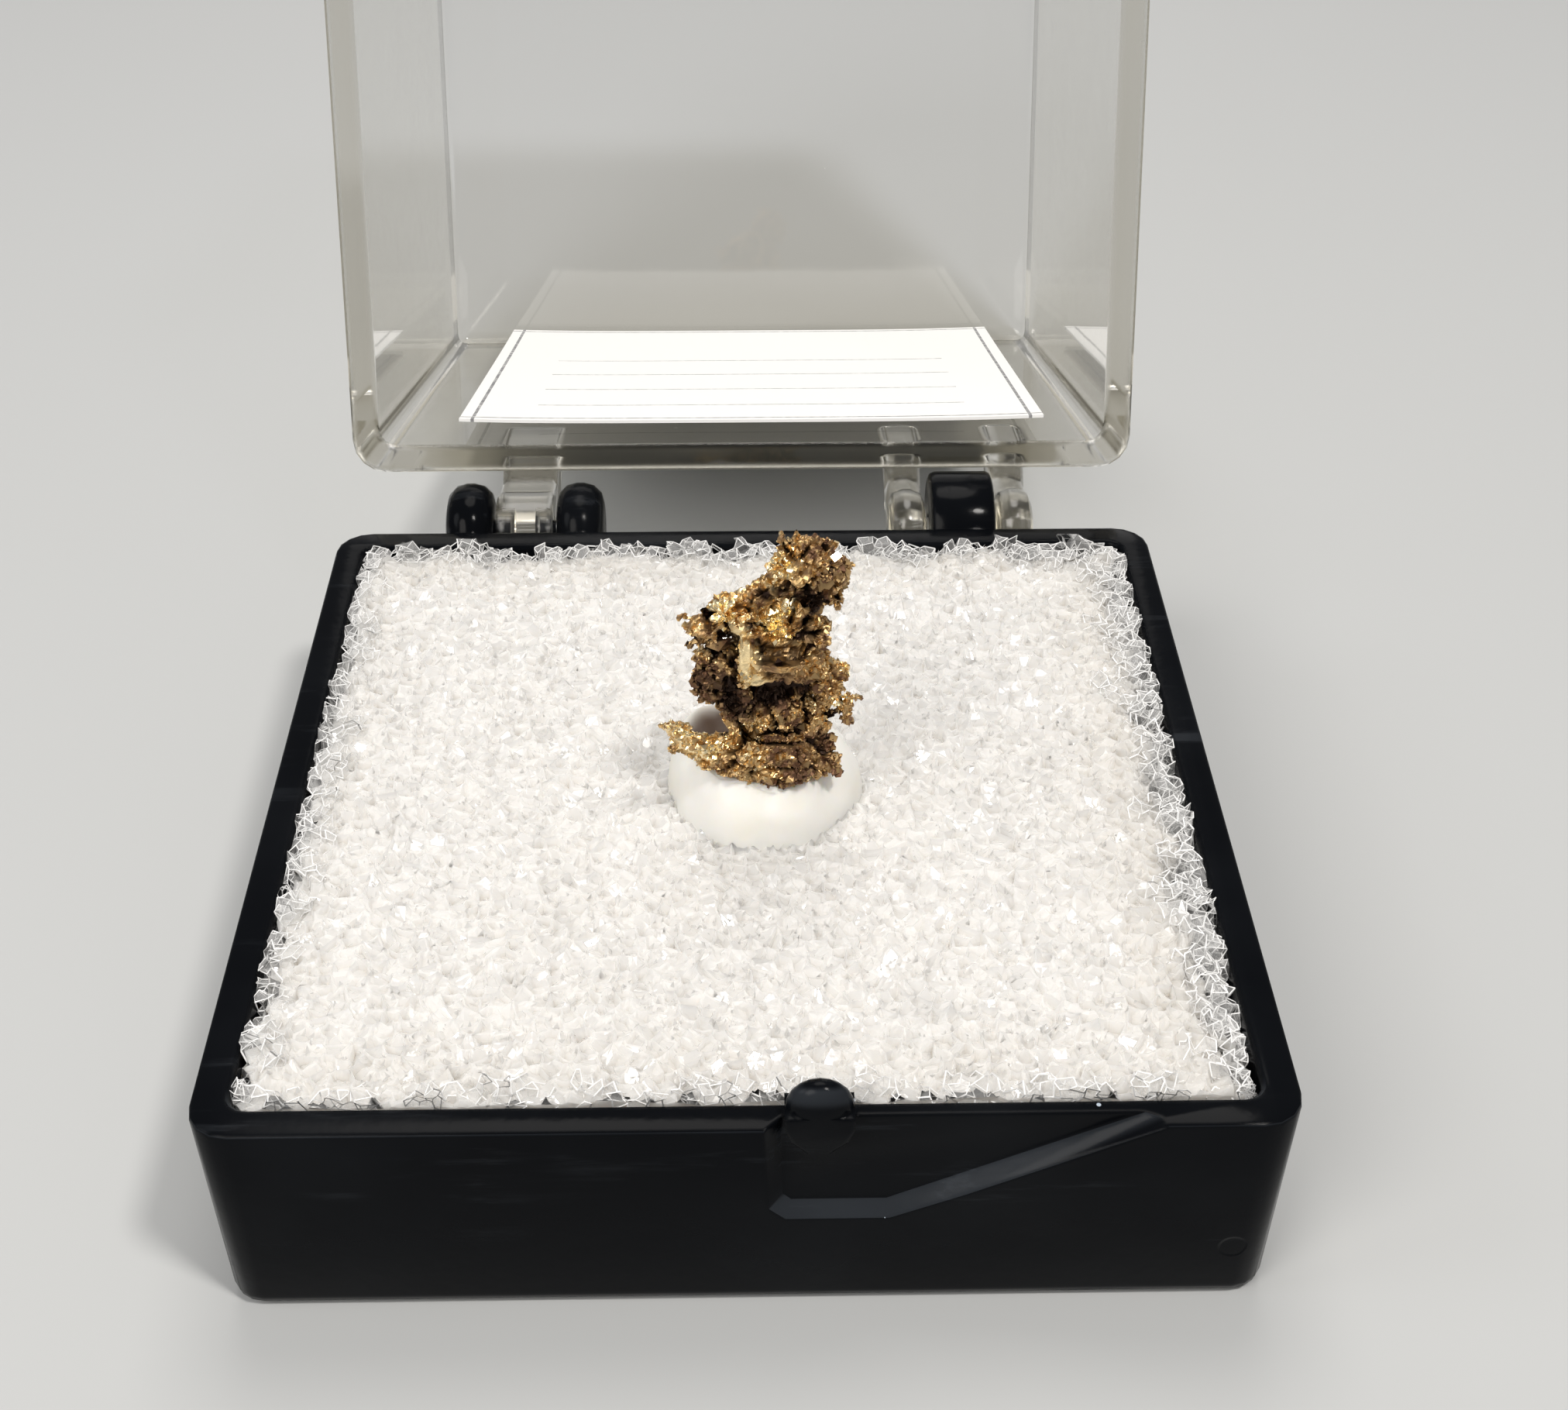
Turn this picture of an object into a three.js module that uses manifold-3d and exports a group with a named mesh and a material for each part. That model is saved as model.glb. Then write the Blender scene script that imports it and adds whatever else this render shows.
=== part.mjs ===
// A crystallised native metal specimen in its hinged display box: a black tray, a foam insert,
// a lump of mineral putty that holds the specimen, and a clear lid, standing open, with a paper label.
//
// Millimetres, +Z up, +Y towards the hinge. The origin is the centre of the tray's underside.
// The lid is modelled shut, about its hinge axis, and a turned group swings it open.

import * as THREE from 'three';
import { mergeVertices } from 'three/addons/utils/BufferGeometryUtils.js';
import Module from 'manifold-3d';

const wasm = await Module();
wasm.setup();

// Box
const boxWidth = 32; // across the rim, both ways
const trayHeight = 7.8;
const trayTaper = 0.27; // each side leans in this much at the bottom
const lidDepth = 27; // from the rim to the lid's outer face
const lidTaper = 0.2;
const wall = 1.1;
const trayFloor = 1.3;
const cornerRadius = 1.3;
const innerCornerRadius = 0.7;
const cornerSteps = 4;
const edgeRound = 0.5; // along the tray's bottom edge and the lid's top edge
const rimRound = 0.12;
const shutGap = 0.15; // between the two rims when the box is shut
const clearance = 0.3; // between two pieces that rest against each other

// Hinge
const hingeBehind = 2.15; // the axis stands this far behind the back wall
const hingeDrop = 1.3; // and this far below the rim
const hingeSpacing = 8.85; // from the middle of the box to each pair
const hingeSideGap = 0.15; // between a tongue and the ears beside it
const trayEar = { radius: 1.95, width: 1.9, round: 0.8, steps: 3 };
const trayTongue = { radius: 2.3, width: 2.55, round: 0.25, steps: 2 };
const lidEar = { radius: 1.6, width: 1.5, round: 0.6, steps: 2 };
const lidTongue = { radius: 1.6, width: 2.25, round: 0.15, steps: 1 };
const pinRadius = 0.42;
const pinLength = 0.7;
const pinRoot = 0.1; // how far each pin is sunk in its lug
const socketRadius = 0.6;
const socketDepth = 0.7;

// Latch and thumb recess on the front wall
const latchX = 2.05;
const latchHalfWidth = 1.0;
const latchRise = 1.4; // above the rim
const latchNeck = 0.4; // above the rim, where its round head starts
const latchHeadDepth = 0.56; // half of its thickness from front to back
const latchRoot = 1.6; // below the rim
const notchHalfWidth = 1.35;
const notchHeight = 1.9;
const recessDepth = 0.55;
const recessLeft = 1.0;
const recessRight = 11.35; // where its sloping edge runs out at the rim
const recessBottom = 3.5; // below the rim
const recessSlope = 4.05; // where its lower edge starts to climb to the right

// Foam, putty, specimen and label. Heights are above the rim.
const foamTop = 0.15;
const foamRipple = 0.16;
const foamCells = 11;
const foamSideGap = 0.22; // to the tray's walls at the top
const puttyCentre = new THREE.Vector2(0.6, -0.46);
const puttyReach = new THREE.Vector2(3.28, 3.16);
const puttySink = 0.2; // below the rim, into the foam
const puttyHeight = 2.98;
const puttySwell = 0.025; // how uneven its outline is
const puttyHump = { x: -0.75, y: 0.21, rise: 0.45, spread: 0.122 }; // place in shares of its reach
const puttySeatTop = 5; // the lumps below this height are pressed into it
const labelWidth = 24.4;
const labelLength = 23.8;
const labelThickness = 0.25;
const labelFromRim = 1.7;
const labelX = 0.4;

const halfWidth = boxWidth / 2;
const hingeY = halfWidth + hingeBehind;
const hingeZ = trayHeight - hingeDrop;
const turn = Math.PI * 2;

// ---------------------------------------------------------------- helpers

function toSolid(geometry) {
  const plain = geometry.clone();
  plain.deleteAttribute('normal');
  plain.deleteAttribute('uv');
  const merged = mergeVertices(plain, 1e-4);
  return new wasm.Manifold(new wasm.Mesh({
    numProp: 3,
    vertProperties: new Float32Array(merged.attributes.position.array),
    triVerts: new Uint32Array(merged.index.array),
  }));
}

function toMesh(name, solid, material) {
  const { vertProperties, triVerts } = solid.getMesh();
  const geometry = new THREE.BufferGeometry();
  geometry.setAttribute('position', new THREE.BufferAttribute(vertProperties, 3));
  geometry.setIndex(new THREE.BufferAttribute(triVerts, 1));
  geometry.computeVertexNormals();
  const mesh = new THREE.Mesh(geometry, material);
  mesh.name = name;
  return mesh;
}

// The one outer body of a solid, without sealed hollows or loose crumbs.
function outerBody(solid) {
  const bodies = solid.decompose();
  return bodies.reduce((best, body) => (body.volume() > best.volume() ? body : best));
}

function seededRandom(seed) {
  let state = seed;
  return () => {
    state = (state * 1664525 + 1013904223) % 4294967296;
    return state / 4294967296;
  };
}

// Joins rings of equal point counts into one closed geometry; each end is closed with a fan.
function loft(rings) {
  const count = rings[0].length;
  const positions = rings.flat().flatMap((point) => point.toArray());
  const index = [];
  for (let ring = 0; ring < rings.length - 1; ring += 1) {
    for (let point = 0; point < count; point += 1) {
      const a = ring * count + point;
      const b = ring * count + (point + 1) % count;
      index.push(a, b, b + count, a, b + count, a + count);
    }
  }
  const last = (rings.length - 1) * count;
  for (let point = 1; point < count - 1; point += 1) {
    index.push(0, point + 1, point);
    index.push(last, last + point, last + point + 1);
  }
  const geometry = new THREE.BufferGeometry();
  geometry.setAttribute('position', new THREE.Float32BufferAttribute(positions, 3));
  geometry.setIndex(index);
  return geometry;
}

function roundedSquare(half, radius, z) {
  const ring = [];
  for (let corner = 0; corner < 4; corner += 1) {
    const diagonal = (corner + 0.5) * turn / 4;
    const centreX = (half - radius) * Math.sign(Math.cos(diagonal));
    const centreY = (half - radius) * Math.sign(Math.sin(diagonal));
    for (let step = 0; step <= cornerSteps; step += 1) {
      const angle = (corner + step / cornerSteps) * turn / 4;
      ring.push(new THREE.Vector3(
        centreX + radius * Math.cos(angle),
        centreY + radius * Math.sin(angle),
        z,
      ));
    }
  }
  return ring;
}

// A profile of [half width, height] turned around a rounded square, as a lathe turns one round a circle.
function squareLathe(profile, radius) {
  const widest = Math.max(...profile.map(([half]) => half));
  return loft(profile.map(([half, z]) => {
    const ringRadius = Math.max(radius - (widest - half), 0.2);
    return roundedSquare(half, ringRadius, z);
  }));
}

// Points of a quarter round, from one angle to another, for a profile.
function arc(centreHalf, centreZ, radius, from, to, steps) {
  return Array.from({ length: steps + 1 }, (unused, step) => {
    const angle = from + (to - from) * step / steps;
    return [centreHalf + radius * Math.cos(angle), centreZ + radius * Math.sin(angle)];
  });
}

// A shape drawn in Y and Z, extruded along X and centred on the given X, with rounded side edges.
function extrudeAlongX(shape, x, width, round = 0, segments = 2) {
  const geometry = new THREE.ExtrudeGeometry(shape, {
    depth: width - 2 * round,
    curveSegments: 7,
    bevelEnabled: round > 0,
    bevelThickness: round,
    bevelSize: round,
    bevelOffset: -round,
    bevelSegments: segments,
  });
  geometry.applyMatrix4(new THREE.Matrix4().makeBasis(
    new THREE.Vector3(0, 1, 0),
    new THREE.Vector3(0, 0, 1),
    new THREE.Vector3(1, 0, 0),
  ));
  geometry.translate(x - width / 2 + round, 0, 0);
  return toSolid(geometry);
}

// A shape drawn in X and Z, extruded along Y from the given Y.
function extrudeAlongY(shape, y, depth, options = { bevelEnabled: false }) {
  const geometry = new THREE.ExtrudeGeometry(shape, { depth, curveSegments: 10, ...options });
  geometry.applyMatrix4(new THREE.Matrix4().makeBasis(
    new THREE.Vector3(1, 0, 0),
    new THREE.Vector3(0, 0, 1),
    new THREE.Vector3(0, -1, 0),
  ));
  geometry.translate(0, y + depth, 0);
  return toSolid(geometry);
}

function rodAlongX(x, y, z, radius, length) {
  const geometry = new THREE.CylinderGeometry(radius, radius, length, 12);
  geometry.rotateZ(turn / 4);
  geometry.translate(x, y, z);
  return toSolid(geometry);
}

function boxSolid(low, high) {
  const size = new THREE.Vector3().subVectors(high, low);
  const geometry = new THREE.BoxGeometry(size.x, size.y, size.z);
  geometry.translate(...new THREE.Vector3().addVectors(low, high).multiplyScalar(0.5).toArray());
  return toSolid(geometry);
}

// ---------------------------------------------------------------- tray

const trayBottomHalf = halfWidth - trayTaper;

function trayShell() {
  const outside = squareLathe([
    ...arc(trayBottomHalf - edgeRound, edgeRound, edgeRound, -turn / 4, 0, 3),
    ...arc(halfWidth - rimRound, trayHeight - rimRound, rimRound, 0, turn / 4, 2),
  ], cornerRadius);
  const innerHalf = halfWidth - wall;
  const innerBottomHalf = trayBottomHalf - wall;
  const inside = squareLathe([
    ...arc(innerBottomHalf - edgeRound, trayFloor + edgeRound, edgeRound, -turn / 4, 0, 2),
    [innerHalf, trayHeight - rimRound],
    [innerHalf + rimRound, trayHeight],
    [innerHalf + rimRound, trayHeight + 1],
  ], innerCornerRadius);
  return toSolid(outside).subtract(toSolid(inside));
}

// A shallow bevelled scoop for the thumb, deepest beside the latch and running out to the right.
function thumbRecess() {
  const overRim = 2;
  const overRun = overRim * (recessRight - recessSlope) / recessBottom;
  const shape = new THREE.Shape([
    new THREE.Vector2(recessLeft, overRim),
    new THREE.Vector2(recessLeft, -recessBottom + 0.25),
    new THREE.Vector2(recessLeft + 0.25, -recessBottom),
    new THREE.Vector2(recessSlope, -recessBottom),
    new THREE.Vector2(recessRight + overRun, overRim),
  ]);
  const cutter = extrudeAlongY(shape, -halfWidth - 1, 1, {
    bevelEnabled: true,
    bevelThickness: recessDepth,
    bevelSize: recessDepth,
    bevelSegments: 1,
  });
  return cutter.translate(0, 0, trayHeight);
}

// The hook that the lid's notch snaps over: a round head on a stem that narrows to a wedge below the rim.
function latchHook() {
  const front = new THREE.Shape();
  front.moveTo(latchX - 0.3, -latchRoot);
  front.lineTo(latchX + 0.3, -latchRoot);
  front.lineTo(latchX + latchHalfWidth, 0);
  front.lineTo(latchX + latchHalfWidth, latchNeck);
  front.lineTo(latchX - latchHalfWidth, latchNeck);
  front.lineTo(latchX - latchHalfWidth, 0);
  front.closePath();
  const outerFace = -halfWidth;
  const innerFace = outerFace + wall - 0.02;
  const side = new THREE.Shape();
  side.moveTo(outerFace + 0.8, -latchRoot);
  side.lineTo(outerFace + recessDepth, -latchRoot);
  side.lineTo(outerFace - 0.05, -0.45);
  side.lineTo(outerFace + 0.02, latchNeck + 0.1);
  side.lineTo(innerFace, latchNeck + 0.1);
  side.lineTo(innerFace, -0.2);
  side.closePath();
  const stem = extrudeAlongX(side, latchX, 2 * latchHalfWidth + 0.2)
    .intersect(extrudeAlongY(front, outerFace - 1, 3));
  const ball = new THREE.SphereGeometry(1, 20, 12);
  ball.scale(latchHalfWidth, latchHeadDepth, latchRise - latchNeck);
  ball.translate(latchX, outerFace + wall / 2, latchNeck);
  return stem.add(toSolid(ball)).translate(0, 0, trayHeight);
}

// A knuckle with a web down to the tray's back wall, drawn in Y and Z.
function trayKnuckle(radius) {
  const shape = new THREE.Shape();
  const inWall = halfWidth - wall + 0.15;
  shape.moveTo(inWall, trayHeight - 4.1);
  shape.lineTo(hingeY + radius * Math.cos(-turn / 7), hingeZ + radius * Math.sin(-turn / 7));
  shape.absarc(hingeY, hingeZ, radius, -turn / 7, turn * 0.42, false);
  shape.lineTo(inWall, trayHeight - rimRound);
  shape.closePath();
  return shape;
}

function makeLug(knuckle, { radius, width, round, steps }, x) {
  return extrudeAlongX(knuckle(radius), x, width, round, steps);
}

// A tongue with a blind socket in each side, where the pins of the ears sit.
function socketed(tongue, x, { width }) {
  let drilled = tongue;
  for (const side of [-1, 1]) {
    const socketX = x + side * (width - socketDepth + 1) / 2;
    drilled = drilled.subtract(rodAlongX(socketX, hingeY, hingeZ, socketRadius, socketDepth + 1));
  }
  return drilled;
}

function trayHinge() {
  const earOffset = lidTongue.width / 2 + hingeSideGap + trayEar.width / 2;
  const parts = [];
  for (const side of [-1, 1]) {
    const earX = -hingeSpacing + side * earOffset;
    parts.push(makeLug(trayKnuckle, trayEar, earX));
    const pinX = earX - side * (trayEar.width + pinLength) / 2;
    parts.push(rodAlongX(pinX + side * pinRoot, hingeY, hingeZ, pinRadius, pinLength + 2 * pinRoot));
  }
  return [...parts, socketed(makeLug(trayKnuckle, trayTongue, hingeSpacing), hingeSpacing, trayTongue)];
}

function makeTray() {
  let tray = trayShell().subtract(thumbRecess());
  for (const part of [latchHook(), ...trayHinge()]) {
    tray = tray.add(part);
  }
  return outerBody(tray);
}

// ---------------------------------------------------------------- lid

// The lid is drawn shut, in the box's frame, and moved to its hinge axis afterwards.
function lidShell() {
  const bottom = trayHeight + shutGap;
  const top = trayHeight + lidDepth;
  const topHalf = halfWidth - lidTaper;
  const outside = squareLathe([
    [halfWidth - rimRound, bottom],
    [halfWidth, bottom + rimRound],
    ...arc(topHalf - edgeRound, top - edgeRound, edgeRound, 0, turn / 4, 3),
  ], cornerRadius);
  const inside = squareLathe([
    [halfWidth - wall, bottom - 1],
    [halfWidth - wall, bottom],
    ...arc(topHalf - wall - edgeRound, top - wall - edgeRound, edgeRound, 0, turn / 4, 2),
  ], innerCornerRadius);
  return toSolid(outside).subtract(toSolid(inside));
}

// A round lug on the hinge axis, with an arm that rises behind the lid's back wall.
function lidKnuckle(radius) {
  const inWall = halfWidth - wall + 0.25;
  const shape = new THREE.Shape();
  shape.moveTo(inWall, trayHeight + 1.4);
  shape.lineTo(halfWidth + 0.55, trayHeight + 0.75);
  const start = turn * 0.42;
  shape.lineTo(hingeY + radius * Math.cos(start), hingeZ + radius * Math.sin(start));
  shape.absarc(hingeY, hingeZ, radius, start, turn * 1.02, false);
  shape.lineTo(halfWidth + 0.3, trayHeight + 4.6);
  shape.lineTo(inWall, trayHeight + 4.6);
  shape.closePath();
  return shape;
}

function lidHinge() {
  const parts = [socketed(makeLug(lidKnuckle, lidTongue, -hingeSpacing), -hingeSpacing, lidTongue)];
  const earOffset = trayTongue.width / 2 + hingeSideGap + lidEar.width / 2;
  for (const side of [-1, 1]) {
    const earX = hingeSpacing + side * earOffset;
    parts.push(makeLug(lidKnuckle, lidEar, earX));
    const pinX = earX - side * (lidEar.width + pinLength) / 2;
    parts.push(rodAlongX(pinX + side * pinRoot, hingeY, hingeZ, pinRadius, pinLength + 2 * pinRoot));
  }
  return parts;
}

function makeLid() {
  const notch = boxSolid(
    new THREE.Vector3(latchX - notchHalfWidth, -halfWidth - 1, trayHeight - 1),
    new THREE.Vector3(latchX + notchHalfWidth, -halfWidth + wall + 0.6, trayHeight + notchHeight),
  );
  let lid = lidShell().subtract(notch);
  for (const part of lidHinge()) {
    lid = lid.add(part);
  }
  return outerBody(lid).translate(0, -hingeY, -hingeZ);
}

// The paper lies along the inside of the lid's back wall, which is underneath when the lid is open.
function makeLabel() {
  const back = halfWidth - wall - lidTaper - clearance;
  const low = trayHeight + labelFromRim;
  const label = boxSolid(
    new THREE.Vector3(labelX - labelWidth / 2, back - labelThickness, low),
    new THREE.Vector3(labelX + labelWidth / 2, back, low + labelLength),
  );
  return label.translate(0, -hingeY, -hingeZ);
}

// The lid falls open until its far edge meets the surface that the tray stands on.
function openAngle() {
  const edgeY = halfWidth - lidTaper - edgeRound - hingeY;
  const edgeZ = trayHeight + lidDepth - edgeRound - hingeZ;
  const reach = Math.hypot(edgeY, edgeZ);
  const gap = 0.02;
  return Math.acos((edgeRound + gap - hingeZ) / reach) - Math.atan2(edgeY, edgeZ);
}

// ---------------------------------------------------------------- foam

// A block that fills the tray. Its torn top is rippled, and the putty sits in a shallow seat.
function makeFoam() {
  const random = seededRandom(41);
  const bottom = trayFloor + clearance;
  const top = trayHeight + foamTop;
  const half = halfWidth - wall - trayTaper - clearance;
  const widening = (halfWidth - wall - foamSideGap) / half; // it follows the tray's taper
  const geometry = new THREE.BoxGeometry(2 * half, 2 * half, top - bottom, foamCells, foamCells, 1);
  geometry.translate(0, 0, (top + bottom) / 2);
  const block = mergeVertices(geometry.deleteAttribute('normal').deleteAttribute('uv'), 1e-4);
  const position = block.attributes.position;
  for (let i = 0; i < position.count; i += 1) {
    const isTop = position.getZ(i) > top - 1e-3;
    const isEdge = Math.max(Math.abs(position.getX(i)), Math.abs(position.getY(i))) > half - 1e-3;
    const isCorner = Math.min(Math.abs(position.getX(i)), Math.abs(position.getY(i))) > half - 1e-3;
    const ripple = foamRipple * (random() - 0.5) * 2;
    if (isTop) {
      const drop = isEdge ? 0.2 : 0;
      const wider = isCorner ? (1 + widening) / 2 : widening;
      position.setXYZ(i, position.getX(i) * wider, position.getY(i) * wider, top + ripple - drop);
    }
    if (isTop && !isEdge) {
      position.setX(i, position.getX(i) + foamRipple * (random() - 0.5) * 3);
      position.setY(i, position.getY(i) + foamRipple * (random() - 0.5) * 3);
    }
  }
  const seat = new THREE.CylinderGeometry(1.02, 0.98, 2, 20);
  seat.rotateX(turn / 4);
  seat.scale(
    puttyReach.x * (1 + puttySwell) + clearance,
    puttyReach.y * (1 + puttySwell) + clearance,
    1,
  );
  seat.translate(puttyCentre.x, puttyCentre.y, trayHeight - puttySink - clearance + 1);
  return outerBody(toSolid(block).subtract(toSolid(seat)));
}

// ---------------------------------------------------------------- specimen

// The lumps that the crystals have grown over, from the foot to the tip: centre, reach along X, Y
// and Z, lean about Y, and how many crystals each carries. Heights are above the rim.
const lumps = [
  { name: 'foot', at: [0.85, -2.15, 2.7], reach: [2.05, 0.95, 1.2], lean: 0, crystals: 5 },
  { name: 'footRight', at: [2.4, -2.05, 2.5], reach: [0.7, 0.55, 0.75], lean: 0, crystals: 4 },
  { name: 'footLeft', at: [-0.8, -2.2, 2.8], reach: [0.95, 0.5, 0.85], lean: 0, crystals: 3 },
  { name: 'leftWing', at: [-1.6, -2.35, 3.3], reach: [1.2, 0.32, 0.62], lean: 0.62, crystals: 5 },
  { name: 'waistLeft', at: [-0.12, -1.75, 4.32], reach: [0.8, 0.7, 0.85], lean: 0.3, crystals: 3 },
  { name: 'waist', at: [1.15, -1.6, 4.5], reach: [1.2, 0.85, 1.05], lean: 0, crystals: 3 },
  { name: 'waistRight', at: [2.3, -1.9, 3.9], reach: [0.65, 0.5, 0.6], lean: 0, crystals: 2 },
  { name: 'rightKnob', at: [2.68, -1.8, 5.45], reach: [0.68, 0.62, 0.7], lean: 0, crystals: 3 },
  { name: 'leftLobe', at: [-0.9, -1.75, 5.05], reach: [0.78, 0.6, 0.62], lean: 0, crystals: 3 },
  { name: 'leftFlank', at: [-0.7, -1.6, 5.85], reach: [1.0, 0.8, 0.85], lean: 0, crystals: 5 },
  { name: 'belly', at: [0.9, -1.75, 6.1], reach: [1.95, 1.0, 1.15], lean: 0, crystals: 5 },
  { name: 'chest', at: [1.25, -1.6, 7.2], reach: [1.65, 0.95, 1.0], lean: 0, crystals: 5 },
  { name: 'leftArm', at: [-1.05, -1.6, 7.35], reach: [0.7, 0.5, 0.52], lean: -0.15, crystals: 4 },
  { name: 'shoulder', at: [-0.2, -1.6, 8.0], reach: [1.05, 0.8, 0.7], lean: -0.25, crystals: 5 },
  { name: 'collar', at: [0.78, -1.5, 8.52], reach: [0.9, 0.75, 0.58], lean: -0.5, crystals: 4 },
  { name: 'neck', at: [1.7, -1.45, 8.6], reach: [1.05, 0.8, 0.75], lean: 0, crystals: 4 },
  { name: 'head', at: [1.92, -1.4, 9.6], reach: [1.26, 0.85, 0.92], lean: 0.35, crystals: 8 },
  { name: 'headRight', at: [2.75, -1.35, 8.9], reach: [0.52, 0.55, 0.75], lean: 0, crystals: 3 },
];

// Chains of small crystals that stand out from the mass: root, tip, first and last size, count.
const branches = [
  { from: [2.4, -1.9, 4.6], to: [4.0, -1.9, 4.9], size: [0.32, 0.18], count: 6 },
  { from: [3.25, -1.9, 4.65], to: [3.3, -2.0, 3.95], size: [0.42, 0.3], count: 3 },
  { from: [-1.6, -2.3, 3.3], to: [-2.7, -2.35, 4.1], size: [0.46, 0.2], count: 5 },
  { from: [-1.9, -2.3, 3.7], to: [-2.1, -2.3, 4.35], size: [0.3, 0.15], count: 3 },
  { from: [-1.2, -1.6, 7.5], to: [-1.9, -1.6, 7.85], size: [0.34, 0.22], count: 3 },
  { from: [-1.1, -1.6, 7.0], to: [-1.75, -1.6, 6.75], size: [0.34, 0.24], count: 3 },
  { from: [-0.9, -1.7, 5.4], to: [-1.6, -1.8, 5.5], size: [0.34, 0.22], count: 3 },
  { from: [2.5, -2.0, 2.6], to: [3.0, -2.1, 2.2], size: [0.32, 0.2], count: 3 },
  { from: [2.4, -2.0, 2.9], to: [2.85, -2.1, 3.0], size: [0.28, 0.18], count: 3 },
  { from: [1.75, -1.4, 10.1], to: [1.65, -1.4, 10.75], size: [0.36, 0.18], count: 4 },
  { from: [2.55, -1.3, 9.1], to: [3.15, -1.3, 8.95], size: [0.34, 0.24], count: 3 },
];

const leastPuttyGap = 0.42;
const leastCrystal = 0.18;
const mostCrystal = 0.36;
const leastPush = 0.84; // how far the corners of a lump move in and out
const mostPush = 1.14;

// How far a point stands outside the putty's dome, roughly, in millimetres.
function abovePutty(point) {
  const dome = new THREE.Vector3(
    (point.x - puttyCentre.x) / puttyReach.x,
    (point.y - puttyCentre.y) / puttyReach.y,
    (point.z + puttySink) / puttyHeight,
  );
  return (dome.length() - 1) * puttyHeight;
}

// Mostly eight-sided crystals, with some six-sided plates and a few cubes.
function crystal(draw, size) {
  if (draw < 0.6) {
    return new THREE.OctahedronGeometry(size);
  }
  if (draw < 0.88) {
    return new THREE.CylinderGeometry(size, size * 0.8, size * 0.5, 6);
  }
  return new THREE.BoxGeometry(size, size, size);
}

function placeCrystal(random, at, size) {
  const geometry = crystal(random(), size);
  geometry.applyMatrix4(new THREE.Matrix4().makeRotationFromEuler(new THREE.Euler(
    random() * turn,
    random() * turn,
    random() * turn,
  )));
  geometry.translate(at.x, at.y, at.z);
  return toSolid(geometry);
}

function lumpMatrix({ at, reach, lean }) {
  return new THREE.Matrix4()
    .makeTranslation(...at)
    .multiply(new THREE.Matrix4().makeRotationY(lean))
    .multiply(new THREE.Matrix4().makeScale(...reach));
}

// A blocky core: an icosahedron whose corners are pushed in and out.
function lumpCore(random, lump) {
  const geometry = mergeVertices(new THREE.IcosahedronGeometry(1, 1)
    .deleteAttribute('normal').deleteAttribute('uv'), 1e-4);
  const position = geometry.attributes.position;
  for (let i = 0; i < position.count; i += 1) {
    const push = THREE.MathUtils.lerp(leastPush, mostPush, random());
    position.setXYZ(i, position.getX(i) * push, position.getY(i) * push, position.getZ(i) * push);
  }
  geometry.applyMatrix4(lumpMatrix(lump));
  return toSolid(geometry);
}

// Crystals spread evenly over a lump, each half sunk in it.
function lumpCrystals(random, lump) {
  const matrix = lumpMatrix(lump);
  const goldenAngle = turn * 0.381966;
  const solids = [];
  for (let i = 0; i < lump.crystals; i += 1) {
    const height = 1 - 2 * (i + 0.5) / lump.crystals;
    const ring = Math.sqrt(1 - height * height);
    const angle = i * goldenAngle + random();
    const size = THREE.MathUtils.lerp(leastCrystal, mostCrystal, random());
    const at = new THREE.Vector3(ring * Math.cos(angle), ring * Math.sin(angle), height)
      .applyMatrix4(matrix);
    if (abovePutty(at) > leastPuttyGap + size) {
      solids.push(placeCrystal(random, at, size));
    }
  }
  return solids;
}

function branchCrystals(random, { from, to, size, count }) {
  const start = new THREE.Vector3(...from);
  const end = new THREE.Vector3(...to);
  return Array.from({ length: count }, (unused, i) => {
    const along = i / (count - 1);
    const at = start.clone().lerp(end, along);
    return placeCrystal(random, at, THREE.MathUtils.lerp(size[0], size[1], along));
  });
}

// The smooth plate on the front of the chest, with a ridge down its left side.
function chestPlate() {
  const plate = new THREE.CylinderGeometry(1.0, 0.8, 0.35, 6);
  plate.rotateX(turn / 4);
  plate.rotateX(-0.35);
  plate.translate(1.15, -2.75, 6.75);
  const ridge = new THREE.BoxGeometry(0.34, 0.5, 1.7);
  ridge.rotateY(0.12);
  ridge.rotateX(-0.2);
  ridge.translate(0.05, -2.6, 6.7);
  return [toSolid(plate), toSolid(ridge)];
}

function makeSpecimen() {
  const random = seededRandom(7);
  const pieces = [
    ...lumps.map((lump) => lumpCore(random, lump)),
    ...lumps.flatMap((lump) => lumpCrystals(random, lump)),
    ...branches.flatMap((branch) => branchCrystals(random, branch)),
    ...chestPlate(),
  ];
  const joined = pieces.reduce((whole, piece) => whole.add(piece));
  return outerBody(joined).translate(0, 0, trayHeight);
}

// ---------------------------------------------------------------- putty

// A pressed lump: a low dome with a hump at its left, flat where it sits on the foam.
function puttyDome() {
  const geometry = mergeVertices(new THREE.SphereGeometry(1, 22, 10)
    .deleteAttribute('normal').deleteAttribute('uv'), 1e-4);
  geometry.rotateX(turn / 4);
  const position = geometry.attributes.position;
  for (let i = 0; i < position.count; i += 1) {
    const x = position.getX(i);
    const y = position.getY(i);
    const z = Math.max(position.getZ(i), 0);
    const angle = Math.atan2(y, x);
    const swell = 1 + puttySwell * Math.sin(3 * angle + 0.7);
    const fromHump = (x - puttyHump.x) ** 2 + (y - puttyHump.y) ** 2;
    const hump = puttyHump.rise * Math.exp(-fromHump / puttyHump.spread);
    position.setXYZ(
      i,
      puttyCentre.x + x * swell * puttyReach.x,
      puttyCentre.y + y * swell * puttyReach.y,
      z * (1 + hump) * puttyHeight - puttySink,
    );
  }
  return geometry;
}

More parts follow.
